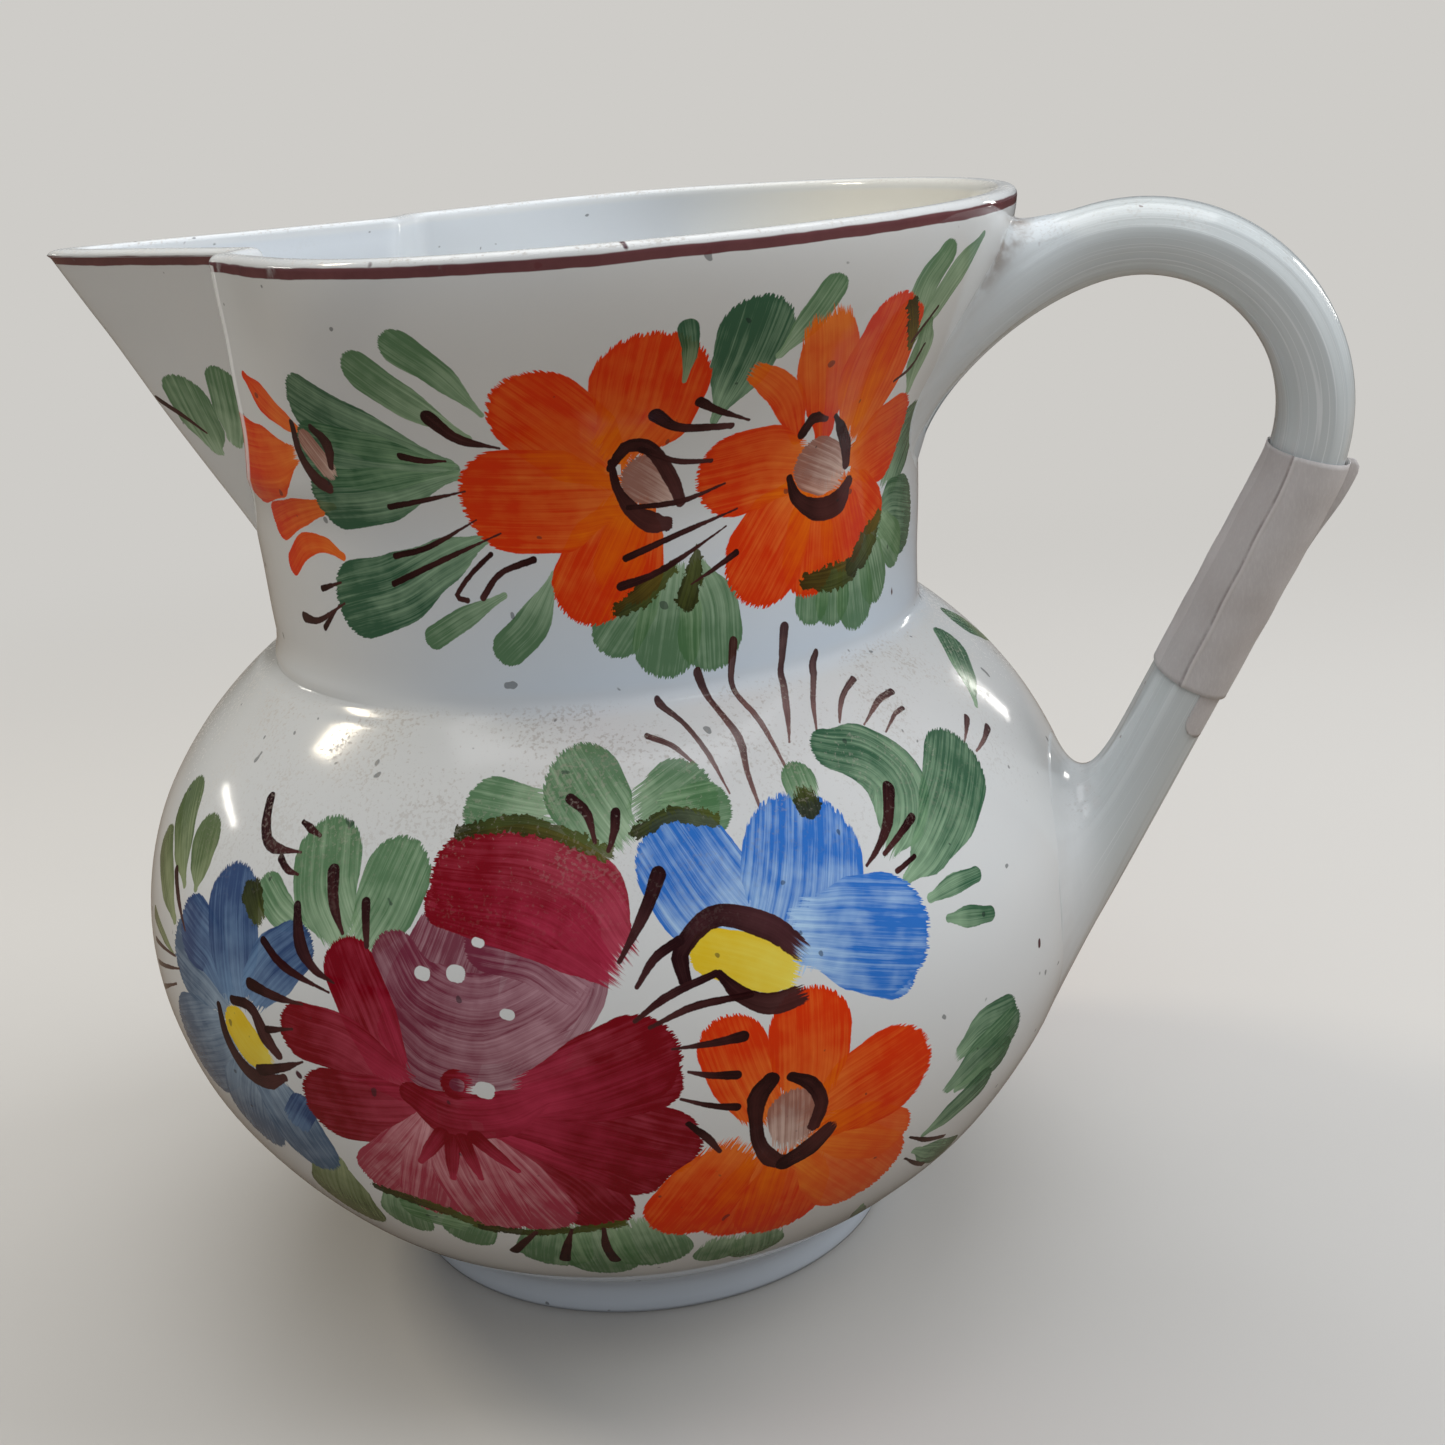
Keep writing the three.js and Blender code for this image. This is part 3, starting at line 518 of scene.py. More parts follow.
paint("olive",
    ((-18, 50.4, 2), (-13, 48.6, 2.8), (-8.8, 46.4, 3), (-5.8, 42.8, 2.6)),
    ((-5.6, 42.4, 2.4), (0, 41.8, 2.2), (6, 43, 2.4), (11.6, 44.6, 2.4)))
paint("crimson", ((-3.4, 77.3, 5.6), (-3.1, 77.3, 5.6)))
paint("mauve", ((-3.4, 77.3, 2.4), (-3.1, 77.2, 2.2)))
# blue flower on the right
paint("blue",
    ((22.6, 111, 18.4), (24.2, 106, 18.6), (26.8, 99.6, 14)),
    ((43.4, 86, 9), (39.8, 89, 9), (36.4, 92, 6)),
    ((35.8, 108.6, 22.8), (34.4, 103, 22.6), (32.5, 97.6, 16)),
    ((42.6, 93, 20.6), (39, 94.8, 18.6), (34.8, 96.6, 12)))
# orange flower at the lower right
paint("orange",
    ((25.2, 41.6, 15), (26.3, 48.4, 14), (27.8, 55.4, 10)),
    ((19.3, 46.4, 17), (21.3, 52, 16), (24, 58.6, 11.4)),
    ((30.6, 40.9, 19), (31, 48.2, 17.4), (31.4, 54.6, 12)))
paint("poppy",
    ((40.8, 45, 21), (37.6, 50.6, 18.8), (34, 56.8, 12)),
    ((43, 53.8, 12), (39, 57.2, 13), (35, 60, 9)))
paint("orange",
    ((42, 67.8, 19.2), (38.4, 66.2, 17.8), (34.6, 63.8, 12)),
    ((24.7, 80.6, 11.8), (25.6, 75.2, 11.4), (27.4, 67.6, 8)),
    ((33, 81, 14.8), (32.8, 76, 14.2), (32.4, 70, 10)))
# dark green where leaves run under the petals
paint("olive",
    ((-3.4, 118.6, 2.4), (3, 120, 3), (8.8, 118, 3), (14, 114, 3)),
    ((17.6, 117.2, 2.6), (22, 119.4, 2.6), (26.8, 117.4, 3)))
paint("sage", ((38.4, 121, 7.4), (38.4, 119.4, 7)))
paint("olive", ((38.3, 116.8, 5.4), (38.4, 118, 5)))
# centres
paint("yellow",
    ((-32, 80, 7.6), (-30, 77, 8.4), (-27.6, 75.4, 5)),
    ((23.8, 96.6, 8), (27.2, 94.3, 9), (31, 91, 7.4)))
paint("rose", ((30.8, 66.4, 9.4), (30.8, 61.4, 8)))
# dark outlines
paint("brown",
    ((-35.3, 82.3, 1.6), (-34.4, 76.2, 2.6), (-32, 71.5, 3.8), (-28.6, 70.8, 3.6),
     (-25.2, 73, 1.6)),
    ((-32.4, 84.6, 1.8), (-29.1, 84.6, 2.2), (-27.2, 80, 3.4), (-25.5, 77.3, 2.4)),
    ((20.7, 92.8, 2.2), (20.6, 97.6, 3), (24.6, 102.2, 3.6), (30, 99, 4.4), (33.2, 94, 4.2)),
    ((24.2, 93, 1.5), (26.1, 89.2, 2.8), (29, 86.7, 3.6), (32.4, 87.1, 3.8)),
    ((28.4, 73.6, 3), (26.9, 70.8, 3.6), (26.7, 66, 2.4), (27.1, 61, 2.6), (28.6, 56.6, 3.6),
     (30.4, 54.9, 4)),
    ((30.2, 54.9, 3.6), (33, 57.2, 4.4), (35.2, 60.6, 3.2)),
    ((30.6, 73.4, 1.8), (32.8, 71, 2.7), (34, 66.4, 2.6), (33.2, 62, 2.8)))
# freehand strokes
paint("brown",
    ((-48.8, 100.8, 1.7), (-46.4, 97, 1.5), (-43.3, 92.3, 0.5)),
    ((-56, 84, 1), (-46.4, 86, 0.5)),
    ((-56, 79.4, 1), (-50.4, 81.8, 0.8), (-45.2, 84.2, 0.4)),
    ((-56, 74.2, 1), (-46.9, 80.4, 0.5)),
    ((-33.2, 120, 2.4), (-31.8, 115.3, 2.7), (-29.4, 112.3, 2.3), (-24.3, 112.5, 0.5)),
    ((-25.6, 117.5, 0.8), (-24, 116.7, 1.4), (-22.1, 115.8, 0.6)),
    ((-27.2, 110.8, 1.4), (-25.7, 109.2, 1.2), (-23.8, 108.8, 0.5)),
    ((-18.7, 110.4, 2.4), (-17.8, 105.4, 2), (-16.1, 100.8, 0.7)),
    ((-13.6, 106.2, 1.6), (-13.2, 102.3, 1.4), (-12.9, 99.2, 0.8)),
    ((-22.8, 103.8, 1.8), (-21.6, 97.7, 2.9), (-19.5, 94.2, 1.7), (-16.8, 92.5, 0.4)),
    ((-27.2, 96.8, 1.4), (-23.8, 93.5, 1.5), (-17.5, 90.8, 0.4)),
    ((-29.1, 88.8, 2), (-25.2, 88, 1.5), (-21.1, 87.8, 0.4)),
    ((-26.7, 81.5, 1.3), (-22.8, 83, 0.4)),
    ((-29.3, 72.7, 2), (-25.2, 75, 1.5), (-21.9, 77.3, 0.4)),
    ((10, 123.8, 1.8), (11.9, 121.2, 1.6), (12.7, 116.2, 0.7)),
    ((15.3, 120.8, 1.7), (15, 117.7, 1.5), (14.1, 114.6, 0.6)),
    ((19.3, 110, 2.4), (17.5, 104.6, 1.9), (14.3, 97, 0.7)),
    ((20.6, 99.2, 1.5), (17.9, 97, 1.4), (15.8, 92.7, 0.7)),
    ((23.8, 93.2, 1.1), (18.9, 90.8, 1.3), (15.3, 87.3, 0.7)),
    ((27.1, 88.9, 1), (21.3, 88.5, 1.2), (16.7, 86, 0.6)),
    ((25.9, 82.3, 1.7), (22.8, 82, 1.1), (18.7, 82, 0.4)),
    ((24.9, 75.8, 1.5), (22.3, 76.5, 1.1), (20.1, 77.7, 0.5)),
    ((24.7, 69.8, 1.4), (22.3, 70.8, 1), (19.1, 73, 0.5)),
    ((19.7, 68, 1), (21.6, 64.3, 1.4), (22.8, 61, 0.8)),
    ((49.7, 115.4, 2.4), (47.5, 110, 1.9), (44.9, 106.5, 1), (42.9, 104.5, 0.5)),
    ((51.1, 109.5, 1.5), (48.2, 107.3, 1.1), (45.6, 105.4, 0.8)),
    ((49.4, 103.3, 0.8), (46.5, 102, 0.9)),
    ((-3.6, 33, 1.9), (-1.2, 37.8, 1.5), (1, 42, 0.8)),
    ((2.7, 29.7, 2.2), (3.9, 35.8, 1.7), (5.5, 43.2, 0.6)),
    ((9.5, 28.8, 2.2), (9, 35.8, 1.7), (9.3, 43.2, 0.8)),
    ((47.6, 49.3, 0.5), (51.7, 45, 1.2), (56, 42, 1)),
    ((48.8, 42, 0.5), (52.7, 36.6, 1), (56, 32.8, 1)))
# spots that stayed bare
for spot in ((-6.5, 95.8, 2.2), (-2.8, 96, 2.8), (-0.5, 101, 1.5),
             (2.4, 89.6, 1.8), (-0.6, 76.6, 3)):
    paint("bare", (spot, (spot[0] + 0.5, spot[1] - 0.2, spot[2])))

# The far side has the same flowers, mirrored and shifted a little by hand.
hand = np.random.default_rng(7)
for ink, places in strokes[:]:
    shake = hand.normal(0, HAND_SHAKE, 2)
    strokes.append((ink, tuple((180 - a + shake[0], run + shake[1], width * FAR_SIDE_WEIGHT)
                               for a, run, width in places)))


def stroke_path(places, scale):
    """The stroke's middle line and half widths, in flat mm, sampled close together."""
    marks = np.array([(a * scale, run) for a, run, _ in places])
    widths = np.array([width for _, _, width in places]) / 2
    padded = np.concatenate([[2 * marks[0] - marks[1]], marks, [2 * marks[-1] - marks[-2]]])
    line, half = [], []
    for k in range(len(marks) - 1):
        p0, p1, p2, p3 = padded[k:k + 4]
        last = k == len(marks) - 2
        for share in np.linspace(0, 1, STROKE_STEPS + 1)[:None if last else -1]:
            line.append(0.5 * (2 * p1 + (p2 - p0) * share
                               + (2 * p0 - 5 * p1 + 4 * p2 - p3) * share ** 2
                               + (3 * p1 - p0 - 3 * p2 + p3) * share ** 3))
            half.append(widths[k] + (widths[k + 1] - widths[k]) * smooth_rise(share, 0, 1))
    return np.array(line), np.array(half)


def along_stroke(line, half, spots):
    """For each spot: mm along the stroke, signed mm aside, and the half width there."""
    starts, span = line[:-1], np.diff(line, axis=0)
    lengths = np.hypot(span[:, 0], span[:, 1])
    reached = np.concatenate([[0], np.cumsum(lengths)])
    unit = span / lengths[:, None]
    offset = spots[:, None, :] - starts[None]
    forward = (offset * unit[None]).sum(-1)
    near = offset - np.clip(forward, 0, lengths[None])[..., None] * unit[None]
    best = np.argmin((near ** 2).sum(-1), 1)
    row = np.arange(len(spots))
    s = forward[row, best]
    s = np.where(best == 0, s, np.maximum(s, 0))
    s = np.where(best == len(lengths) - 1, s, np.minimum(s, lengths[best]))
    pick = offset[row, best]
    side = unit[best, 0] * pick[:, 1] - unit[best, 1] * pick[:, 0]
    share = np.clip(s / lengths[best], 0, 1)
    width = half[best] + (half[best + 1] - half[best]) * share
    return reached[best] + s, side, width, reached[-1]


# Each face keeps the last few strokes that cross it: how far along and aside its corners lie.
faces_around = body_around[body_quads]
wrapped = faces_around - faces_around.min(1, keepdims=True) > 180
faces_around = np.where(wrapped, faces_around - 360, faces_around)
faces_run = body_runs[body_quads]
paintable = (body_zones[body_quads] == OUTSIDE).all(1)
face_count = len(body_quads)
track = np.zeros((LAYERS, face_count, 4, 3), np.float32)
cover = np.zeros((LAYERS, face_count, 4, 3), np.float32)
cover[..., 0] = NO_STROKE
laid = np.zeros(face_count, int)
draws = np.random.default_rng(20)
for ink, places in strokes:
    seed = draws.uniform(0, 500)
    scale = NECK_SCALE if places[0][1] > NECK_PAINT_RUN else BELLY_SCALE
    line, half = stroke_path(places, scale)
    margin = half.max() + PAINT_MARGIN
    centre = line[:, 0].mean() / scale
    shift = np.round((centre - faces_around.mean(1)) / 360) * 360
    low, high = line.min(0) - margin, line.max(0) + margin
    flat_x = (faces_around + shift[:, None]) * scale
    close = paintable & (flat_x.max(1) > low[0]) & (flat_x.min(1) < high[0])
    close &= (faces_run.max(1) > low[1]) & (faces_run.min(1) < high[1])
    chosen = np.nonzero(close)[0]
    spots = np.stack([flat_x[chosen], faces_run[chosen]], -1).reshape(-1, 2)
    s, side, width, length = along_stroke(line, half, spots)
    beyond = np.maximum(np.maximum(-s, s - length), 0)
    inside = (width - np.hypot(side, beyond)).reshape(-1, 4)
    s, side, width, beyond = (v.reshape(-1, 4) for v in (s, side, width, beyond))
    crossed = (side.min(1) < 0) & (side.max(1) > 0) & (np.abs(side).max(1) < MOST_ASIDE)
    crossed &= beyond.min(1) < width.max(1)
    touched = (inside.max(1) > -0.5) | crossed
    target = chosen[touched]
    s, side, width = s[touched], side[touched], width[touched]
    full = target[laid[target] >= LAYERS]
    for layers in (track, cover):
        layers[:-1, full] = layers[1:, full]
    slot = np.minimum(laid[target], LAYERS - 1)
    track[slot, target] = np.stack([s, side, np.full_like(s, seed)], -1)
    number = np.full_like(s, INK_NUMBERS[ink])
    cover[slot, target] = np.stack([width, np.full_like(s, length), number], -1)
    laid[target] = np.minimum(laid[target] + 1, LAYERS)
for k in range(LAYERS):
    for label, values, rest in (("track", track, 0), ("cover", cover, NO_STROKE)):
        corners = np.full((len(glazed_body.data.loops), 3), rest, np.float32)
        corners[:face_count * 4] = values[k].reshape(-1, 3)
        give_attribute(glazed_body.data, "%s_%d" % (label, k), corners, "CORNER")


def srgb(red, green, blue):
    return tuple(v / 255 / 12.92 if v <= 10 else ((v / 255 + 0.055) / 1.055) ** 2.4
                 for v in (red, green, blue))


class Wiring:
    """Short hands for placing and joining nodes in one tree."""

    def __init__(self, tree):
        self.tree = tree

    def join(self, source, target):
        self.tree.links.new(source, target)

    def node(self, kind, inputs=None, **settings):
        """Places a node with its settings; inputs are values or the sockets that feed it."""
        made = self.tree.nodes.new(kind)
        for key, value in settings.items():
            setattr(made, key, value)
        for socket, value in (inputs or {}).items():
            if isinstance(value, bpy.types.NodeSocket):
                self.join(value, made.inputs[socket])
            elif isinstance(value, tuple) and made.inputs[socket].type == "RGBA":
                made.inputs[socket].default_value = (*value, 1)
            else:
                made.inputs[socket].default_value = value
        return made

    def math(self, operation, *values, clamp=False):
        given = dict(enumerate(values))
        return self.node("ShaderNodeMath", given, operation=operation, use_clamp=clamp).outputs[0]

    def add(self, a, b):
        return self.math("ADD", a, b)

    def times(self, first, *others):
        for other in others:
            first = self.math("MULTIPLY", first, other)
        return first

    def scaled(self, value, factor, offset, clamp=False):
        """value x factor + offset"""
        return self.math("MULTIPLY_ADD", value, factor, offset, clamp=clamp)

    def centred(self, value):
        return self.math("SUBTRACT", value, 0.5)

    def fade(self, *value_and_ranges):
        """A soft step: the value, its low and high end, and what these give (0 and 1)."""
        given = dict(enumerate(value_and_ranges))
        return self.node("ShaderNodeMapRange", given, interpolation_type="SMOOTHSTEP").outputs[0]

    def mix(self, share, a, b):
        return self.node("ShaderNodeMix", {0: share, 6: a, 7: b}, data_type="RGBA").outputs[2]

    def noise(self, vector, scale, detail=2.0, roughness=0.5, distortion=0.0):
        given = {"Vector": vector, "Scale": scale, "Detail": detail, "Roughness": roughness,
                 "Distortion": distortion}
        return self.node("ShaderNodeTexNoise", given).outputs["Fac"]

    def split(self, vector):
        return self.node("ShaderNodeSeparateXYZ", {0: vector}).outputs

    def vector(self, x, y, z=0.0):
        return self.node("ShaderNodeCombineXYZ", {0: x, 1: y, 2: z}).outputs[0]

    def attribute(self, name):
        return self.node("ShaderNodeAttribute", attribute_name=name).outputs["Vector"]

    def group(self, tree, inputs):
        return self.node("ShaderNodeGroup", inputs, node_tree=tree).outputs

    def bump(self, height, strength, distance):
        given = {"Height": height, "Strength": strength, "Distance": distance}
        return self.node("ShaderNodeBump", given).outputs[0]


def new_tree(name, kind, inputs, outputs):
    """A node group with named sockets, its wiring, and the sockets at its two ends."""
    tree = bpy.data.node_groups.new(name, kind)
    for way, sockets in (("INPUT", inputs), ("OUTPUT", outputs)):
        for label, socket in sockets.items():
            tree.interface.new_socket(label, in_out=way, socket_type="NodeSocket" + socket)
    w = Wiring(tree)
    return tree, w, w.node("NodeGroupInput").outputs, w.node("NodeGroupOutput").inputs


def ink_ramp(w, row, which):
    """Ink colours as steps of a ramp, thick (0) or thin (1), with cover or streaks as alpha."""
    made = w.node("ShaderNodeValToRGB", {0: row})
    made.color_ramp.interpolation = "CONSTANT"
    elements = made.color_ramp.elements
    while len(elements) < len(INKS):
        elements.new(0.5)
    for number, (element, look) in enumerate(zip(elements, INKS.values())):
        element.position = number / INK_STOPS
        element.color = (*srgb(*look[which]), look[2 + which])
    return made.outputs


def build_stroke_group():
    """Lays one brush stroke over the colour below it."""
    tree, w, given, out = new_tree(
        "brush stroke", "ShaderNodeTree", {"Below": "Color", "Track": "Vector", "Cover": "Vector"},
        {"Colour": "Color"})
    s, side, seed = w.split(given["Track"])
    half, length, ink = w.split(given["Cover"])
    row = w.math("DIVIDE", w.add(ink, 0.5), float(INK_STOPS))
    deep, thin = ink_ramp(w, row, 0), ink_ramp(w, row, 1)
    opacity, streaky = deep["Alpha"], thin["Alpha"]
    # the brush's hairs run along the stroke and bite into both its ends
    hair_count = w.scaled(half, 0.7, 1.8)
    lateral = w.times(w.math("DIVIDE", side, w.math("MAXIMUM", half, 0.3)), hair_count)
    comb = w.noise(w.vector(w.times(s, 0.03), w.times(lateral, 2.2), seed), 1.4, 3.0, 0.65)
    bite = w.times(w.fade(comb, 0.4, 0.64), w.times(half, w.fade(half, 0.9, 2.6)))
    before = w.math("MAXIMUM", w.scaled(bite, 0.1, w.times(s, -1.0)), 0.0)
    after = w.math("MAXIMUM", w.math("SUBTRACT", w.scaled(bite, 0.6, s), length), 0.0)
    beyond = w.add(before, after)
    reach = w.math("SQRT", w.add(w.times(side, side), w.times(beyond, beyond)))
    inside = w.math("SUBTRACT", half, reach)
    gone = w.math("DIVIDE", w.math("MAXIMUM", s, 0.0), w.math("MAXIMUM", w.add(length, half), 0.5))
    hairs = w.noise(w.vector(w.times(s, 0.022), lateral, seed), 1.5, 5.0, 0.68, 0.2)
    plain_at = w.vector(s, side, seed)
    pools = w.noise(plain_at, 0.22, 2.0, 0.5)
    wobble = w.noise(plain_at, 0.9, 3.0, 0.6)
    # the edge wavers, and the end runs dry between the hairs
    dry = w.times(w.fade(gone, 0.66, 1.04), w.fade(half, 0.5, 2.2))
    is_olive = w.math("COMPARE", ink, float(INK_NUMBERS["olive"]), 0.4)
    ragged = w.scaled(is_olive, 2.6, w.scaled(dry, 1.0, 0.28))
    edge = w.scaled(w.centred(wobble), ragged, inside)
    edge = w.math("SUBTRACT", edge, w.times(dry, hairs, 0.8))
    parting = w.math("SUBTRACT", w.times(dry, 0.66), 0.1)
    bristles = w.fade(hairs, parting, w.add(parting, 0.16))
    shape = w.times(w.fade(edge, -0.06, 0.1), bristles)
    # the ink lies thick where the brush landed, in its pools and along its rim
    load = w.scaled(gone, -0.8, 0.9)
    load = w.scaled(w.centred(hairs), w.times(streaky, 2.6), load)
    load = w.scaled(w.centred(pools), 0.9, load)
    load = w.scaled(w.fade(inside, 1.3, 0.1), 0.16, load, clamp=True)
    ink_colour = w.mix(load, thin["Color"], deep["Color"])
    sheer = w.times(streaky, streaky, 0.1)
    alpha = w.times(shape, w.scaled(w.math("SUBTRACT", load, 1.0), sheer, opacity))
    w.join(w.mix(alpha, given["Below"], ink_colour), out["Colour"])
    return tree


def build_dust_group():
    """Dry dust that lies where a surface faces up, and fine grime in its grain."""
    tree, w, given, out = new_tree(
        "settled dust", "ShaderNodeTree", {"Colour": "Color", "Amount": "Float"},
        {"Colour": "Color", "Roughness": "Float"})
    where = w.node("ShaderNodeTexCoord").outputs["Object"]
    normal = w.split(w.node("ShaderNodeNewGeometry").outputs["Normal"])
    level = w.fade(normal[2], 0.3, 0.85)
    grains = w.noise(where, 1500.0, 2.0, 0.6)
    patches = w.noise(where, 70.0, 3.0, 0.6)
    specks = w.fade(w.times(grains, w.add(patches, 0.5)), 0.545, 0.7)
    film = w.scaled(specks, 0.8, w.times(patches, 0.05))
    share = w.math("MULTIPLY", w.times(level, film), given["Amount"], clamp=True)
    w.join(w.mix(share, given["Colour"], srgb(158, 148, 136)), out["Colour"])
    w.join(w.times(level, given["Amount"], w.scaled(specks, 0.7, 0.16)), out["Roughness"])
    return tree


stroke_group = build_stroke_group()
dust_group = build_dust_group()


def new_material(name):
    """A node material, its wiring, its shader, and the place on the object."""
    material = bpy.data.materials.new(name)
    material.use_nodes = True
    w = Wiring(material.node_tree)
    shader = material.node_tree.nodes["Principled BSDF"]
    return material, w, shader, w.node("ShaderNodeTexCoord").outputs["Object"]


def glaze_over(w, shader, base, dustiness, roughness, normal):
    """Joins a dusty glaze to its shader; roughness is a function of what the dust adds."""
    dust = w.group(dust_group, {"Colour": base, "Amount": dustiness})
    w.join(dust["Colour"], shader.inputs["Base Color"])
    w.join(roughness(dust["Roughness"]), shader.inputs["Roughness"])
    shader.inputs["IOR"].default_value = 1.5
    shader.inputs["Specular IOR Level"].default_value = 0.4
    w.join(normal, shader.inputs["Normal"])


def build_glaze_material():
    material, w, shader, where = new_material("painted white glaze")
    run, zone, past_corner = w.split(w.attribute("place"))
    x = w.split(where)[0]
    cloud = w.noise(where, 18.0, 3.0, 0.55)
    base = w.mix(cloud, srgb(220, 224, 226), srgb(232, 233, 230))
    # painted light inside: cool by the beak and warm by the handle, as light falls there; blue on
    # the foot and at the neck's foot
    inner = w.mix(w.fade(x, -0.03, 0.03), srgb(210, 218, 226), srgb(234, 230, 216))
    inner = w.mix(w.times(cloud, 0.3), inner, srgb(240, 240, 236))
    base = w.mix(w.fade(zone, 2.6, 3.4), base, inner)
    base = w.mix(w.times(w.fade(run, 2.0, -2.0), 0.7), base, srgb(210, 224, 240))
    pooled = w.times(w.fade(run, SHOULDER_RUN - 2, SHOULDER_RUN + 5), w.fade(run, 178.0, 140.0))
    pooled = w.times(pooled, w.times(w.fade(x, -0.06, 0.0), w.fade(zone, 1.6, 1.2)), 0.75)
    base = w.mix(pooled, base, srgb(218, 236, 254))
    specks = w.fade(w.noise(where, 210.0, 1.0, 0.4), 0.79, 0.82)
    base = w.mix(specks, base, srgb(84, 52, 60))
    for k in range(LAYERS):
        base = w.group(stroke_group, {"Below": base, "Track": w.attribute("track_%d" % k),
                                      "Cover": w.attribute("cover_%d" % k)})["Colour"]
    ink_specks = w.fade(w.noise(where, 330.0, 1.0, 0.4), 0.762, 0.785)
    base = w.mix(w.times(ink_specks, 0.6), base, srgb(30, 40, 44))
    # the brown line that a hand drew round the rim
    swing = w.centred(w.noise(where, 55.0, 3.0, 0.6))
    lift = w.scaled(swing, 1.1, run)
    line = w.times(w.fade(lift, LIP_RUN - 1.25, LIP_RUN - 1.05),
                   w.fade(lift, LIP_RUN + 0.7, LIP_RUN + 0.4))
    thick = w.noise(where, 120.0, 4.0, 0.65)
    rim_colour = w.mix(thick, srgb(76, 28, 36), srgb(126, 70, 72))
    base = w.mix(w.times(line, w.fade(thick, 0.22, 0.4, 0.5, 0.97)), base, rim_colour)
    # a painted highlight: a thin pale line along the sharp corner beside the beak, its normals also
    # tipped up towards the sky
    beside = w.scaled(swing, 0.5, w.add(past_corner, 2.5))
    corner_highlight = w.times(w.fade(w.math("ABSOLUTE", beside), 1.3, 0.5),
                     w.fade(run, SHOULDER_RUN + 14, SHOULDER_RUN + 30))
    base = w.mix(w.times(corner_highlight, 0.72), base, (0.9, 0.9, 0.88))
    waved = w.bump(w.noise(where, 42.0, 2.0, 0.4), 0.12, 0.0006)
    tipped = w.node("ShaderNodeMix", {0: w.times(corner_highlight, 0.4), 4: waved, 5: (0.0, 0.0, 1.0)},
                    data_type="VECTOR")
    normal = w.node("ShaderNodeVectorMath", {0: tipped.outputs[1]}, operation="NORMALIZE")
    glaze_over(w, shader, base, 0.55,
               lambda dusty: w.add(w.fade(cloud, 0.3, 0.7, 0.04, 0.07), dusty), normal.outputs[0])
    return material


def build_clay_tree():
    """Geometry nodes for the small swellings that hands leave in wet clay, along its grain."""
    tree, w, given, out = new_tree(
        "worked clay", "GeometryNodeTree",
        {"Geometry": "Geometry", "Depth": "Float", "Detail": "Float", "Seed": "Float",
         "Glaze": "Material"}, {"Geometry": "Geometry"})
    grain, worked = (
        w.node("GeometryNodeInputNamedAttribute", {"Name": name}, data_type=kind)
        for name, kind in (("grain", "FLOAT_VECTOR"), ("worked", "FLOAT")))
    swelling = w.node("ShaderNodeTexNoise", {
        "Vector": grain.outputs["Attribute"], "W": given["Seed"], "Detail": given["Detail"],
        "Scale": 1.0, "Roughness": 0.4}, noise_dimensions="4D")
    amount = w.times(w.centred(swelling.outputs[0]), given["Depth"], worked.outputs["Attribute"])
    normal = w.node("GeometryNodeInputNormal").outputs[0]
    offset = w.node("ShaderNodeVectorMath", {0: normal, "Scale": amount}, operation="SCALE")
    push = w.node("GeometryNodeSetPosition", {"Geometry": given["Geometry"],
                                              "Offset": offset.outputs[0]})
    realize = w.node("GeometryNodeRealizeInstances", {0: push.outputs[0]})
    finish = w.node("GeometryNodeSetMaterial", {"Geometry": realize.outputs[0],
                                                "Material": given["Glaze"]})
    w.join(finish.outputs[0], out[0])
    return tree


clay_tree = build_clay_tree()


def work_clay(piece, **given):
    modifier = piece.modifiers.new("worked clay", "NODES")
    modifier.node_group = clay_tree
    for item in clay_tree.interface.items_tree:
        if item.in_out == "INPUT" and item.name in given:
            modifier[item.identifier] = given[item.name]
    depsgraph = bpy.context.evaluated_depsgraph_get()
    worked = bpy.data.meshes.new_from_object(piece.evaluated_get(depsgraph), depsgraph=depsgraph,
                                             preserve_all_data_layers=True)
    piece.modifiers.clear()
    piece.data = worked


work_clay(glazed_body, Depth=0.0011, Detail=1.0, Seed=4.0, Glaze=build_glaze_material())
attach(glazed_body, "root")
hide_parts("foot_ring", "belly", "neck_collar", "pouring_spout")

# The handle: one pulled strap of the same clay, an arch over the hand and a straight run down.
# Its two ends are pressed and smeared on to the neck under the rim and on to the belly, so both
# roots flare softly into the wall, and a little dirt has gathered where they meet it.
HANDLE_REACH, HANDLE_TOP = 140.2, 196.8
ARCH_RADIUS = 30.5
STRAP_THICKNESS, STRAP_WIDTH, STRAP_ROUNDNESS = 13.2, 20.0, 2.3
LANDING_HEIGHT = 71.8
ARCH_X = HANDLE_REACH - STRAP_THICKNESS / 2 - ARCH_RADIUS
ARCH_Z = HANDLE_TOP - STRAP_THICKNESS / 2 - ARCH_RADIUS
LANDING_X = float(belly_radius(np.array(LANDING_HEIGHT)))
TO_ARCH = math.hypot(ARCH_X - LANDING_X, ARCH_Z - LANDING_HEIGHT)
STRAP_ANGLE = (math.atan2(ARCH_Z - LANDING_HEIGHT, ARCH_X - LANDING_X)
               - math.asin(ARCH_RADIUS / TO_ARCH))
STRAP_LENGTH = math.sqrt(TO_ARCH ** 2 - ARCH_RADIUS ** 2)
BEND_ANGLE = STRAP_ANGLE - math.pi / 2
ARCH_END_ANGLE = math.radians(104)
LOWER_ROOT_SHARE = 0.62
LOWER_ROOT_HEIGHT, UPPER_ROOT_HEIGHT = 77.0, 174.0
LOWER_ROOT_REACH, UPPER_ROOT_REACH = (38.0, 21.0), (21.0, 24.0)
LOWER_ROOT_HALF, UPPER_ROOT_HALF = 25.5, 16.5
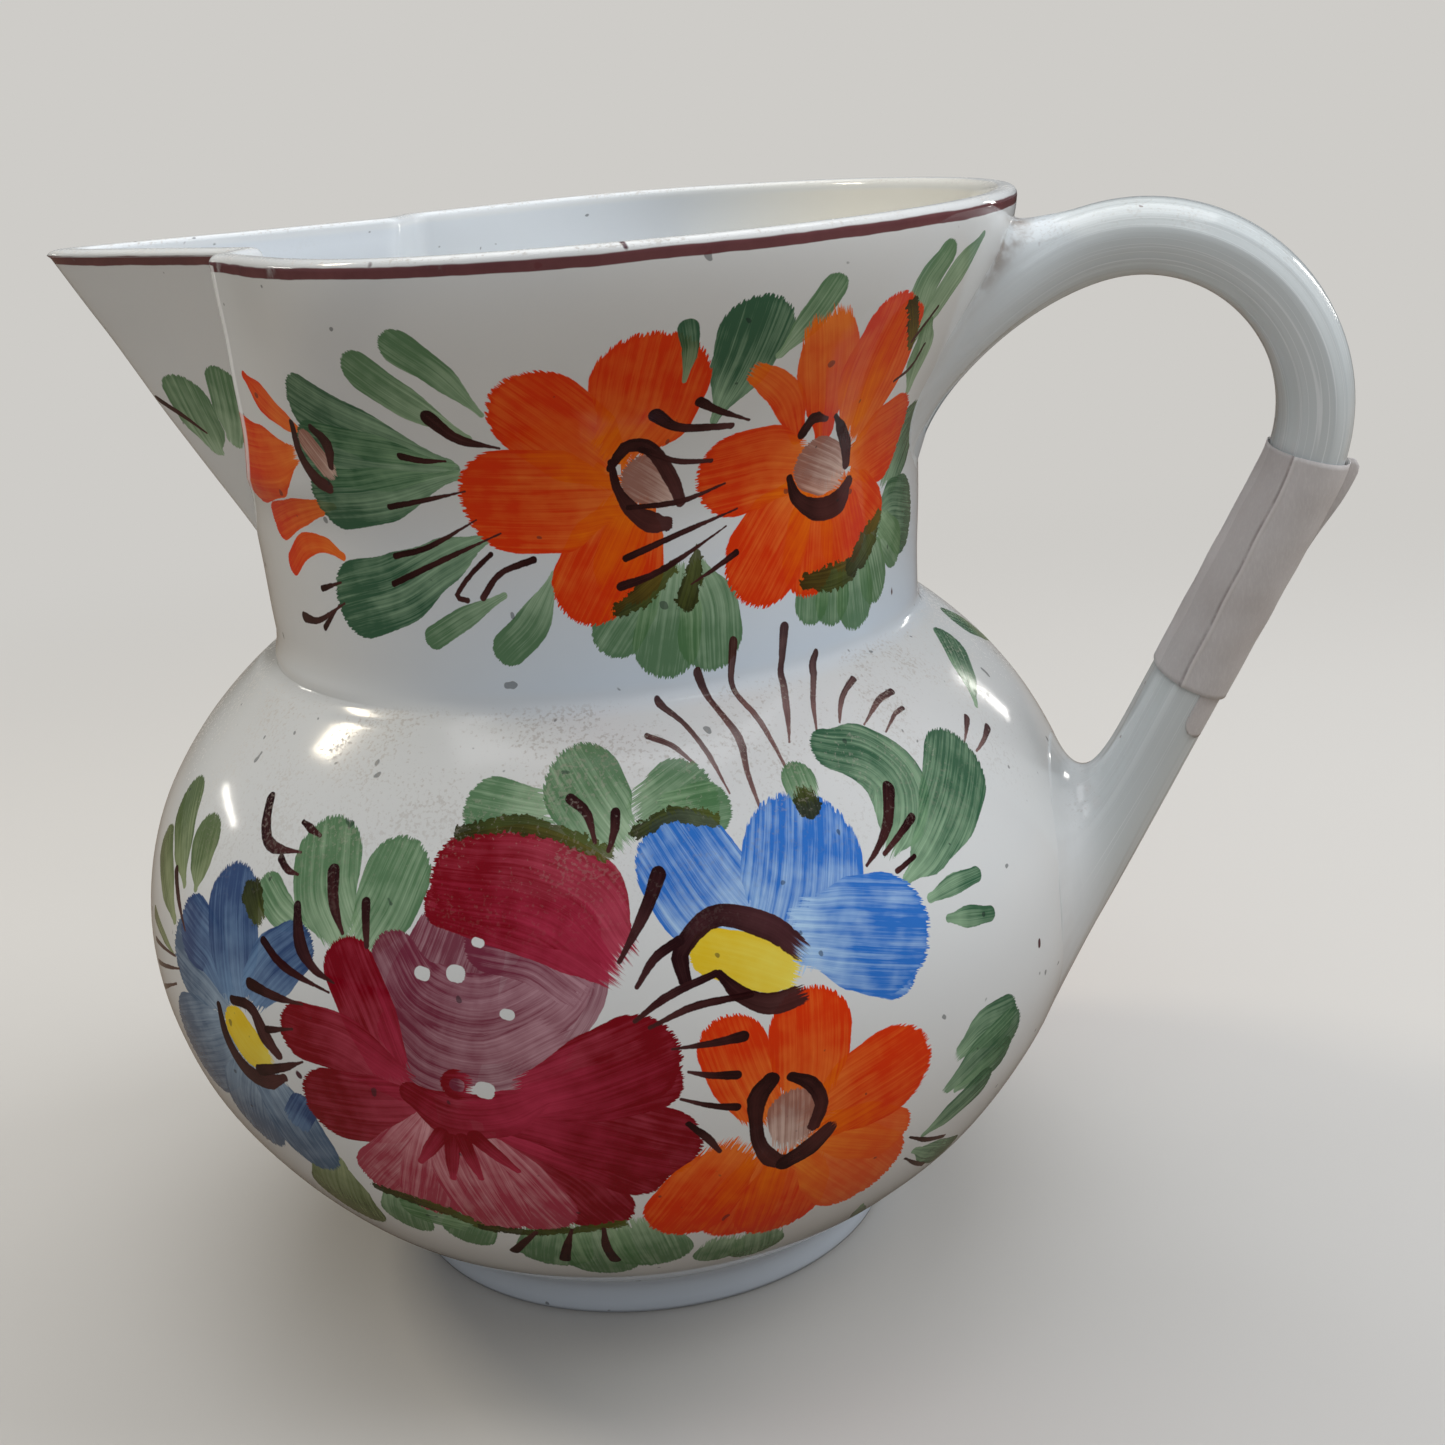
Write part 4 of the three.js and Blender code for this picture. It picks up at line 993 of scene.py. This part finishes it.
# How strongly the strap's outer edge, sides and inner edge pull as they leave it and as they land.
LOWER_LEAVING, LOWER_LANDING = (52, 40, 43), (40, 34, 33)
UPPER_LEAVING, UPPER_LANDING = (12, 34, 48), (4, 26, 40)
UPPER_ROOT_STEPS, LOWER_ROOT_STEPS = 26, 30
HANDLE_COLUMNS = 96
TURN_SCALE = 8.0
HANDLE_SWELLS = (2.2, 70)


def strap_frame(distance):
    """Middle, outward and onward directions in the handle's plane; below zero is the arch."""
    angle = BEND_ANGLE - min(distance, 0) / ARCH_RADIUS
    down = max(distance, 0)
    outward = np.array([math.cos(angle), math.sin(angle)])
    arch = np.array([ARCH_X, ARCH_Z]) + ARCH_RADIUS * outward
    middle = arch - down * np.array([math.cos(STRAP_ANGLE), math.sin(STRAP_ANGLE)])
    return middle, outward, np.array([outward[1], -outward[0]])


def strap_ring(distance, turns, grow=0.0):
    """Points of one section; turn 0 is the outer edge, and -90 degrees the face towards -Y."""
    middle, outward, _ = strap_frame(distance)

    def bulge(wave, half):
        return np.sign(wave) * np.abs(wave) ** (2 / STRAP_ROUNDNESS) * (half + grow)

    across = bulge(np.cos(turns), STRAP_THICKNESS / 2)
    aside = bulge(np.sin(turns), STRAP_WIDTH / 2)
    return np.stack([middle[0] + across * outward[0], aside, middle[1] + across * outward[1]], -1)


def wall_point(aside, z):
    """A point on the body's outside beside the handle, and the wall's outward normal there."""
    def at(side, level):
        radius = 85
        for _ in range(7):
            turn = np.degrees(np.arcsin(np.clip(side / radius, -1, 1)))
            radius = body_radius(90 + turn, level)
        turn = np.radians(turn)
        return np.stack([radius * np.cos(turn), radius * np.sin(turn), level], -1)

    over = at(aside + 0.3, z) - at(aside - 0.3, z)
    rise = at(aside, z + 0.3) - at(aside, z - 0.3)
    normal = np.cross(over, rise)
    return at(aside, z), normal / np.linalg.norm(normal, axis=-1, keepdims=True)


def flared_root(distance, heading, outline, pull_out, pull_in, turns, steps):
    """Curves from the strap's section to an outline on the wall, arriving flat on the wall."""
    start = strap_ring(distance, turns)
    _, _, onward = strap_frame(distance)
    along = np.array([onward[0], 0, onward[1]]) * heading
    aside, level = outline(turns)
    spot, normal = wall_point(aside, level)
    edge = wall_point(*outline(turns + 1e-3))[0] - spot
    edge /= np.linalg.norm(edge, axis=-1, keepdims=True)
    spread = np.cross(edge, normal)
    from_middle = np.stack([0 * level, aside, level - level.mean()], -1)
    flip = np.sign((spread * from_middle).sum(-1))
    spread *= np.where(flip == 0, 1, flip)[:, None]
    leaving = along * pull_out(turns)[:, None]
    landing = spread * pull_in(turns)[:, None]
    rings = []
    for share in np.linspace(0, 1, steps + 1)[1:]:
        square, cube = share ** 2, share ** 3
        rings.append((2 * cube - 3 * square + 1) * start + (cube - 2 * square + share) * leaving
                     + (3 * square - 2 * cube) * spot + (cube - square) * landing)
    rings[-1] = rings[-1] - normal * 0.05
    rings.append(spot + spread * 0.3 - normal * 0.6)
    return rings


def blend_turn(outer, side, inner):
    """A function from the outer edge's value over the sides' to the inner edge's."""
    def value(turns):
        c = np.cos(turns)
        return side + np.where(c > 0, (outer - side) * c ** 2, (inner - side) * c ** 2)

    return value


def lower_outline(turns):
    c, s = np.cos(turns), np.sin(turns)
    level = LOWER_ROOT_HEIGHT - np.where(c > 0, *LOWER_ROOT_REACH) * c
    half = LOWER_ROOT_HALF * np.where(c > 0, np.abs(s) ** 1.15, np.abs(s))
    return np.sign(s) * half, level


def upper_outline(turns):
    c, s = np.cos(turns), np.sin(turns)
    level = UPPER_ROOT_HEIGHT + np.where(c > 0, *UPPER_ROOT_REACH) * c
    half = UPPER_ROOT_HALF * np.where(c > 0, np.abs(s) ** 0.9, np.abs(s) ** 1.5)
    return np.sign(s) * half, level


def build_handle():
    count = HANDLE_COLUMNS
    turns = np.linspace(0, 2 * math.pi, count, endpoint=False) + 1e-4
    arch_start = -ARCH_RADIUS * (ARCH_END_ANGLE - BEND_ANGLE)
    root_start = STRAP_LENGTH * LOWER_ROOT_SHARE
    upper = flared_root(arch_start, -1, upper_outline, blend_turn(*UPPER_LEAVING),
                        blend_turn(*UPPER_LANDING), turns, UPPER_ROOT_STEPS)
    lower = flared_root(root_start, 1, lower_outline, blend_turn(*LOWER_LEAVING),
                        blend_turn(*LOWER_LANDING), turns, LOWER_ROOT_STEPS)
    distances = np.concatenate([np.linspace(arch_start, 0, 44)[:-1],
                                np.linspace(0, root_start, 14)])
    rings = upper[::-1] + [strap_ring(distance, turns) for distance in distances] + lower
    middles = np.array([ring.mean(0) for ring in rings])
    lengths = np.cumsum(np.linalg.norm(np.diff(middles, axis=0), axis=1))
    points = np.concatenate(rings)
    # a fan of triangles closes each end, inside the body's wall
    faces = tube_faces(len(rings), count)[:, [0, 3, 2, 1]].tolist()
    last, top = len(points) - count, len(points)
    faces += [((i + 1) % count, i, top) for i in range(count)]
    faces += [(last + i, last + (i + 1) % count, top + 1) for i in range(count)]
    turn = np.degrees(np.arctan2(points[:, 1], points[:, 0]))
    gap = np.hypot(points[:, 0], points[:, 1])
    gap = gap - body_radius(90 + turn, np.minimum(points[:, 2], RIM_HEIGHT - 1))
    strap = np.stack([np.repeat(np.concatenate([[0], lengths]), count),
                      np.tile(turns, len(rings)) * TURN_SCALE, gap], -1)
    strap = np.concatenate([strap, np.zeros((2, 3))])
    points = np.concatenate([points, middles[[0, -1]]])
    points[:, 0] += AXIS_X
    handle = make_piece("strap_handle", points * MM, faces)
    give_attribute(handle.data, "strap", strap)
    grain = clay_grain(strap[:, 1] / TURN_SCALE, strap[:, 0], *HANDLE_SWELLS)
    give_attribute(handle.data, "grain", grain)
    give_attribute(handle.data, "worked", smooth_rise(strap[:, 2], 1.0, 6.0))
    bm = bmesh.new()
    bm.from_mesh(handle.data)
    bmesh.ops.recalc_face_normals(bm, faces=bm.faces)
    bm.to_mesh(handle.data)
    bm.free()
    return handle


strap_handle = build_handle()


def build_handle_material():
    material, w, shader, where = new_material("handle glaze")
    length, turn, gap = w.split(w.attribute("strap"))
    z = w.split(where)[2]
    cloud = w.noise(where, 22.0, 3.0, 0.55)
    # painted shade: the strap's glaze is written greyer than the body's, a shaded copy of the same
    # white glaze
    base = w.mix(cloud, srgb(200, 207, 208), srgb(214, 220, 220))
    # lines that the wet hand drew down the strap, with darker bands of painted shade and paler
    # bands of painted highlight along them, and runs in the glaze
    drawn_lines_and_painted_light = w.noise(w.vector(w.times(length, 0.012), turn), 0.5, 1.5, 0.4)
    base = w.mix(w.fade(drawn_lines_and_painted_light, 0.56, 0.74, 0.0, 0.2), base, srgb(176, 184, 188))
    base = w.mix(w.fade(drawn_lines_and_painted_light, 0.42, 0.3, 0.0, 0.4), base, srgb(234, 240, 240))
    runnel = w.noise(w.vector(w.times(length, 0.004), turn, 3.0), 0.9, 0.0, 0.4)
    runnel = w.fade(w.math("ABSOLUTE", w.centred(runnel)), 0.02, 0.004, 0.0, 0.55)
    base = w.mix(runnel, base, srgb(240, 244, 245))
    specks = w.fade(w.noise(where, 420.0, 1.0, 0.4), 0.785, 0.81)
    base = w.mix(w.times(specks, 0.7), base, srgb(96, 70, 64))
    # painted light at the roots: the strap's painted shade gives way to the body's paler tone near
    # the wall, and the upper root is painted paler still; dirt has gathered in the upper one's
    # corner under the rim
    base = w.mix(w.fade(gap, 9.0, 0.0), base, srgb(220, 224, 225))
    upper_root_painted_light = w.times(w.fade(gap, 22.0, 5.0), w.fade(z, 0.13, 0.15), 0.6)
    base = w.mix(upper_root_painted_light, base, srgb(232, 240, 244))
    under_rim = w.fade(z, 0.178, 0.193)
    patchy = w.fade(w.noise(where, 170.0, 3.0, 0.6), 0.38, 0.62, 0.1, 1.0)
    grime = w.times(w.fade(gap, w.scaled(under_rim, 3.0, 2.0), 0.1), patchy)
    grime = w.times(grime, w.scaled(under_rim, 0.8, 0.03))
    base = w.mix(grime, base, srgb(118, 90, 62))
    seam = w.times(w.fade(gap, 1.9, 1.0), w.fade(gap, 0.1, 0.6))
    glaze_over(w, shader, base, 0.3,
               lambda dusty: w.scaled(grime, 0.3, w.fade(cloud, 0.3, 0.7, 0.08, 0.13)),
               w.bump(w.scaled(seam, -0.3, drawn_lines_and_painted_light), 0.4, 0.0005))
    return material


work_clay(strap_handle, Depth=0.0009, Detail=1.5, Seed=9.0, Glaze=build_handle_material())
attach(strap_handle, "root")
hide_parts("handle", "upper_slip_joint", "lower_slip_joint")

# The paper label: a blank sticker wrapped once round the strap below the bend. It is creased along
# its near face, one end stands off the outer edge as a small flag, and a tab shows below the wrap.
LABEL_ABOVE_BEND, LABEL_LENGTH = 6.2, 46.0
PAPER_GAP, PAPER_THICKNESS = 0.28, 0.16
FLAG_LENGTH, FLAG_REACH = 24.0, 3.0
FOLD_TURN, FOLD_DRIFT = -112, 0.18
TAB_LENGTH, TAB_OVERLAP, TAB_ROUND = 10.5, 2, 3.2
FOLD_SCALE = 9
PAPER_LIFT, CREASE_HEIGHT, CREASE_WIDTH = 0.3, 0.4, 3.2
PAST_CREASE_LIFT, PAST_CREASE_WIDTH = 0.2, 1.2
RIPPLE_HEIGHT = 0.072


def flag_width(distance):
    """How far the paper's end stands off the strap, with a rounded top corner."""
    down = distance + LABEL_ABOVE_BEND
    rounded = math.sqrt(max(1 - (1 - min(down / 2.2, 1)) ** 2, 0.0))
    return 0.15 + FLAG_REACH * max(1 - down / FLAG_LENGTH, 0) * (0.5 + 0.5 * rounded)


def fold_line(distance):
    wander = FOLD_DRIFT * (distance + LABEL_ABOVE_BEND) + 0.6 * math.sin(distance * 0.5)
    return math.radians(FOLD_TURN + wander)


def paper_lift(distance, turn):
    """How far the paper stands off the strap: a ridge at the fold, a step past it, and ripples."""
    past = turn - fold_line(distance)
    ridge = CREASE_HEIGHT * math.exp(-(past / math.radians(CREASE_WIDTH)) ** 2)
    ripple = math.sin(distance * 0.55 + 1.3) * math.sin(turn * 3 + distance * 0.11)
    step = PAST_CREASE_LIFT / (1 + math.exp(-past / math.radians(PAST_CREASE_WIDTH)))
    return PAPER_LIFT + ridge + RIPPLE_HEIGHT * ripple + step


def sheet_faces(rows, offset):
    count = len(rows[0])
    corners = np.array([0, 1, count + 1, count])
    return [tuple((offset + j * count + i + corners).tolist())
            for j in range(len(rows) - 1) for i in range(count - 1)]


def build_label():
    turns = np.radians(np.concatenate([np.linspace(6, -90, 21), np.linspace(-91, -128, 44),
                                       np.linspace(-130, -352, 46)]))
    wrap_end = LABEL_LENGTH - LABEL_ABOVE_BEND
    rows, folds = [], []
    for distance in np.linspace(-LABEL_ABOVE_BEND, wrap_end, 52):
        ring = strap_ring(distance, turns, PAPER_GAP)
        middle, outward, _ = strap_frame(distance)
        away = ring - np.array([middle[0], 0, middle[1]])
        away = away / np.linalg.norm(away, axis=1, keepdims=True)
        ring = ring + away * np.array([paper_lift(distance, turn) for turn in turns])[:, None]
        flag = np.array([outward[0], 0.35, outward[1]]) * flag_width(distance)
        tail = [ring[-1] + flag * share for share in (0.25, 0.5, 0.75, 1.0)]
        rows.append(np.concatenate([ring, tail]))
        folds.append(np.concatenate([turns, np.full(len(tail), -9.0)]) - fold_line(distance))
    tab_rows = []
    tab_end = wrap_end - TAB_OVERLAP + TAB_LENGTH
    for distance in np.linspace(wrap_end - TAB_OVERLAP, tab_end, 16):
        past = max((distance - tab_end + TAB_ROUND) / TAB_ROUND, 0)
        pull = 1 - math.sqrt(max(1 - past ** 2, 0.0))
        tab_turns = np.radians(np.linspace(-6, -76 + 34 * pull, 18))
        tab_rows.append(strap_ring(distance, tab_turns, PAPER_GAP * 0.4))
    fold = np.concatenate(folds + [np.ones(len(row)) for row in tab_rows]) * FOLD_SCALE
    points = np.concatenate(rows + tab_rows)
    faces = sheet_faces(rows, 0) + sheet_faces(tab_rows, len(rows) * len(rows[0]))
    points[:, 0] += AXIS_X
    label = make_piece("price_paper", points * MM, faces)
    give_attribute(label.data, "fold", np.stack([fold, fold * 0, fold * 0], -1))
    thick = label.modifiers.new("paper thickness", "SOLIDIFY")
    thick.thickness = PAPER_THICKNESS * MM
    thick.offset = 0
    return label


price_paper = build_label()


def build_paper_material():
    material, w, shader, where = new_material("label paper")
    mottled = w.noise(where, 130.0, 4.0, 0.6)
    lengthwise = w.node("ShaderNodeVectorMath", {0: where, 1: (1.0, 1.0, 0.25)},
                        operation="MULTIPLY").outputs[0]
    fibre = w.noise(lengthwise, 2600.0, 3.0, 0.7)
    base = w.mix(mottled, srgb(193, 188, 187), srgb(213, 209, 207))
    base = w.mix(w.fade(fibre, 0.42, 0.7, 0.0, 0.35), base, srgb(222, 219, 216))
    soiled = w.fade(w.noise(where, 46.0, 2.0, 0.5), 0.5, 0.75, 0.0, 0.25)
    base = w.mix(soiled, base, srgb(168, 156, 150))
    # the fold: painted shade on one side of it, a painted highlight along its ridge, and a darker
    # band from it towards the strap's inner edge
    beside = w.split(w.attribute("fold"))[0]
    broken = w.fade(w.noise(where, 420.0, 3.0, 0.6), 0.3, 0.6, 0.2, 0.6)
    inner = w.times(w.fade(beside, 0.0, -0.3), w.fade(beside, -8.0, -7.6), 0.22)
    base = w.mix(inner, base, srgb(150, 145, 144))
    shade = w.times(w.fade(beside, -1.0, -0.25), w.fade(beside, 0.05, -0.15), broken)
    base = w.mix(shade, base, srgb(118, 104, 100))
    fold_highlight = w.times(w.fade(beside, -0.1, 0.15), w.fade(beside, 0.75, 0.25), 0.55)
    base = w.mix(fold_highlight, base, srgb(226, 223, 221))
    w.join(base, shader.inputs["Base Color"])
    w.join(w.fade(mottled, 0.3, 0.7, 0.48, 0.62), shader.inputs["Roughness"])
    w.join(w.bump(w.add(fibre, mottled), 0.35, 0.00008), shader.inputs["Normal"])
    return material


price_paper.data.materials.append(build_paper_material())
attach(price_paper, "root")
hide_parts("price_label")

# A plain pale floor for the jug to stand on. It isn't part of the object. Far from the jug, what
# the camera sees of it fades to the same even paper tone as the room behind, so no horizon shows.
ROOM_TONE = srgb(206, 204, 200)
FLOOR_SIZE = 8
bpy.ops.mesh.primitive_plane_add(size=FLOOR_SIZE, location=(0, 0, 0))
floor = bpy.context.object
floor.name = "studio_floor"
floor_material, w, shader, where = new_material("pale floor")
rays = w.node("ShaderNodeLightPath").outputs
seen = rays["Is Camera Ray"]
pale = w.mix(w.noise(where, 3.0, 2.0), srgb(196, 194, 190), srgb(202, 200, 196))
unseen = w.mix(rays["Is Glossy Ray"], srgb(158, 150, 141), srgb(108, 94, 80))
w.join(w.mix(seen, unseen, pale), shader.inputs["Base Color"])
shader.inputs["Roughness"].default_value = 0.9
shader.inputs["Specular IOR Level"].default_value = 0.2
from_jug = w.node("ShaderNodeVectorMath", {0: where}, operation="LENGTH").outputs["Value"]
even = w.node("ShaderNodeEmission", {"Color": ROOM_TONE})
swap = w.node("ShaderNodeMixShader", {0: w.times(seen, w.fade(from_jug, 0.25, 0.75)),
                                      1: shader.outputs[0], 2: even.outputs[0]})
w.join(swap.outputs[0], w.tree.nodes["Material Output"].inputs["Surface"])
floor.data.materials.append(floor_material)

# Soft studio light: two windows on the spout's side, a broad sky above, and a fill by the handle.
# The camera sees the room behind as plain paper, which adds no light to the jug.
world = bpy.data.worlds.new("studio")
bpy.context.scene.world = world
world.use_nodes = True
room = Wiring(world.node_tree)
room_light = world.node_tree.nodes["Background"]
room_light.inputs["Color"].default_value = (0.80, 0.81, 0.84, 1)
backdrop = room.node("ShaderNodeBackground", {"Color": ROOM_TONE, "Strength": 1.0})
rays = room.node("ShaderNodeLightPath").outputs
room.join(room.scaled(rays["Is Glossy Ray"], -0.13, 0.26), room_light.inputs["Strength"])
swap = room.node("ShaderNodeMixShader", {0: rays["Is Camera Ray"], 1: room_light.outputs[0],
                                         2: backdrop.outputs[0]})
room.join(swap.outputs[0], world.node_tree.nodes["World Output"].inputs["Surface"])


LAMP_AIM = Vector((AXIS_X * MM, 0, 0.11))


def soft_lamp(name, bearing, height, distance, size, power, colour, tilt=0.0):
    """An area lamp that faces the jug, at a bearing and a height in degrees and metres away."""
    data = bpy.data.lights.new(name, "AREA")
    data.shape = "RECTANGLE"
    data.size, data.size_y = size
    data.energy = power
    data.color = colour
    lamp = bpy.data.objects.new(name, data)
    turn, lift = math.radians(bearing), math.radians(height)
    away = Vector((math.cos(turn) * math.cos(lift), math.sin(turn) * math.cos(lift),
                   math.sin(lift)))
    lamp.location = LAMP_AIM + away * distance
    facing = (-away).to_track_quat("-Z", "Y").to_matrix()
    lamp.rotation_euler = (facing @ Matrix.Rotation(math.radians(tilt), 3, "Z")).to_euler()
    bpy.context.collection.objects.link(lamp)
    return lamp


soft_lamp("window", 172, 41.5, 1.2, (0.13, 0.26), 3.3, (1, 0.88, 0.68), 40)
soft_lamp("side window", 166.5, 13.2, 1.2, (0.26, 0.02), 0.36, (1, 0.96, 0.88), 8)
far_lamp = soft_lamp("far window", 55, 12, 1.2, (0.06, 0.26), 0.5, (1, 0.97, 0.92))
far_lamp.visible_camera = False
soft_lamp("sky", 90, 78, 1.25, (1.3, 1.3), 11.5, (0.97, 0.98, 1))
for lamp in (soft_lamp("fill", 15, 32, 1.3, (0.8, 0.8), 8.4, (0.95, 0.97, 1)),
             soft_lamp("front", -75, 40, 1.3, (1.1, 1.1), 4.2, (0.95, 0.97, 1))):
    lamp.visible_glossy = False

# The camera stands where the photographer stood: a little above the rim, tipped down and rolled.
CAMERA_BACK, CAMERA_HEIGHT = 374.46, 218.98
CAMERA_LENS, SENSOR_WIDTH, NEAREST = 49.29, 36.0, 0.01
PITCH, ROLL, YAW = 0.30669, -0.07726, 0.06011
SIDE_TURN = Matrix.Rotation(math.radians(15.5), 3, "Z")
camera_data = bpy.data.cameras.new("camera")
camera_data.lens = CAMERA_LENS
camera_data.sensor_width = SENSOR_WIDTH
camera_data.clip_start = NEAREST
camera = bpy.data.objects.new("camera", camera_data)
bpy.context.collection.objects.link(camera)
bpy.context.scene.camera = camera
forward = Vector((math.sin(YAW) * math.cos(PITCH), math.cos(YAW) * math.cos(PITCH),
                  -math.sin(PITCH)))
right = forward.cross(Vector((0, 0, 1))).normalized()
upward = right.cross(forward)
tilted_right = right * math.cos(ROLL) + upward * math.sin(ROLL)
tilted_up = upward * math.cos(ROLL) - right * math.sin(ROLL)
turned = SIDE_TURN @ Matrix((tilted_right, tilted_up, -forward)).transposed()
stand = SIDE_TURN @ Vector((0, -CAMERA_BACK, CAMERA_HEIGHT))
stand.x += AXIS_X
camera.matrix_world = Matrix.Translation(stand * MM) @ turned.to_4x4()
bpy.context.scene.view_settings.view_transform = "Standard"
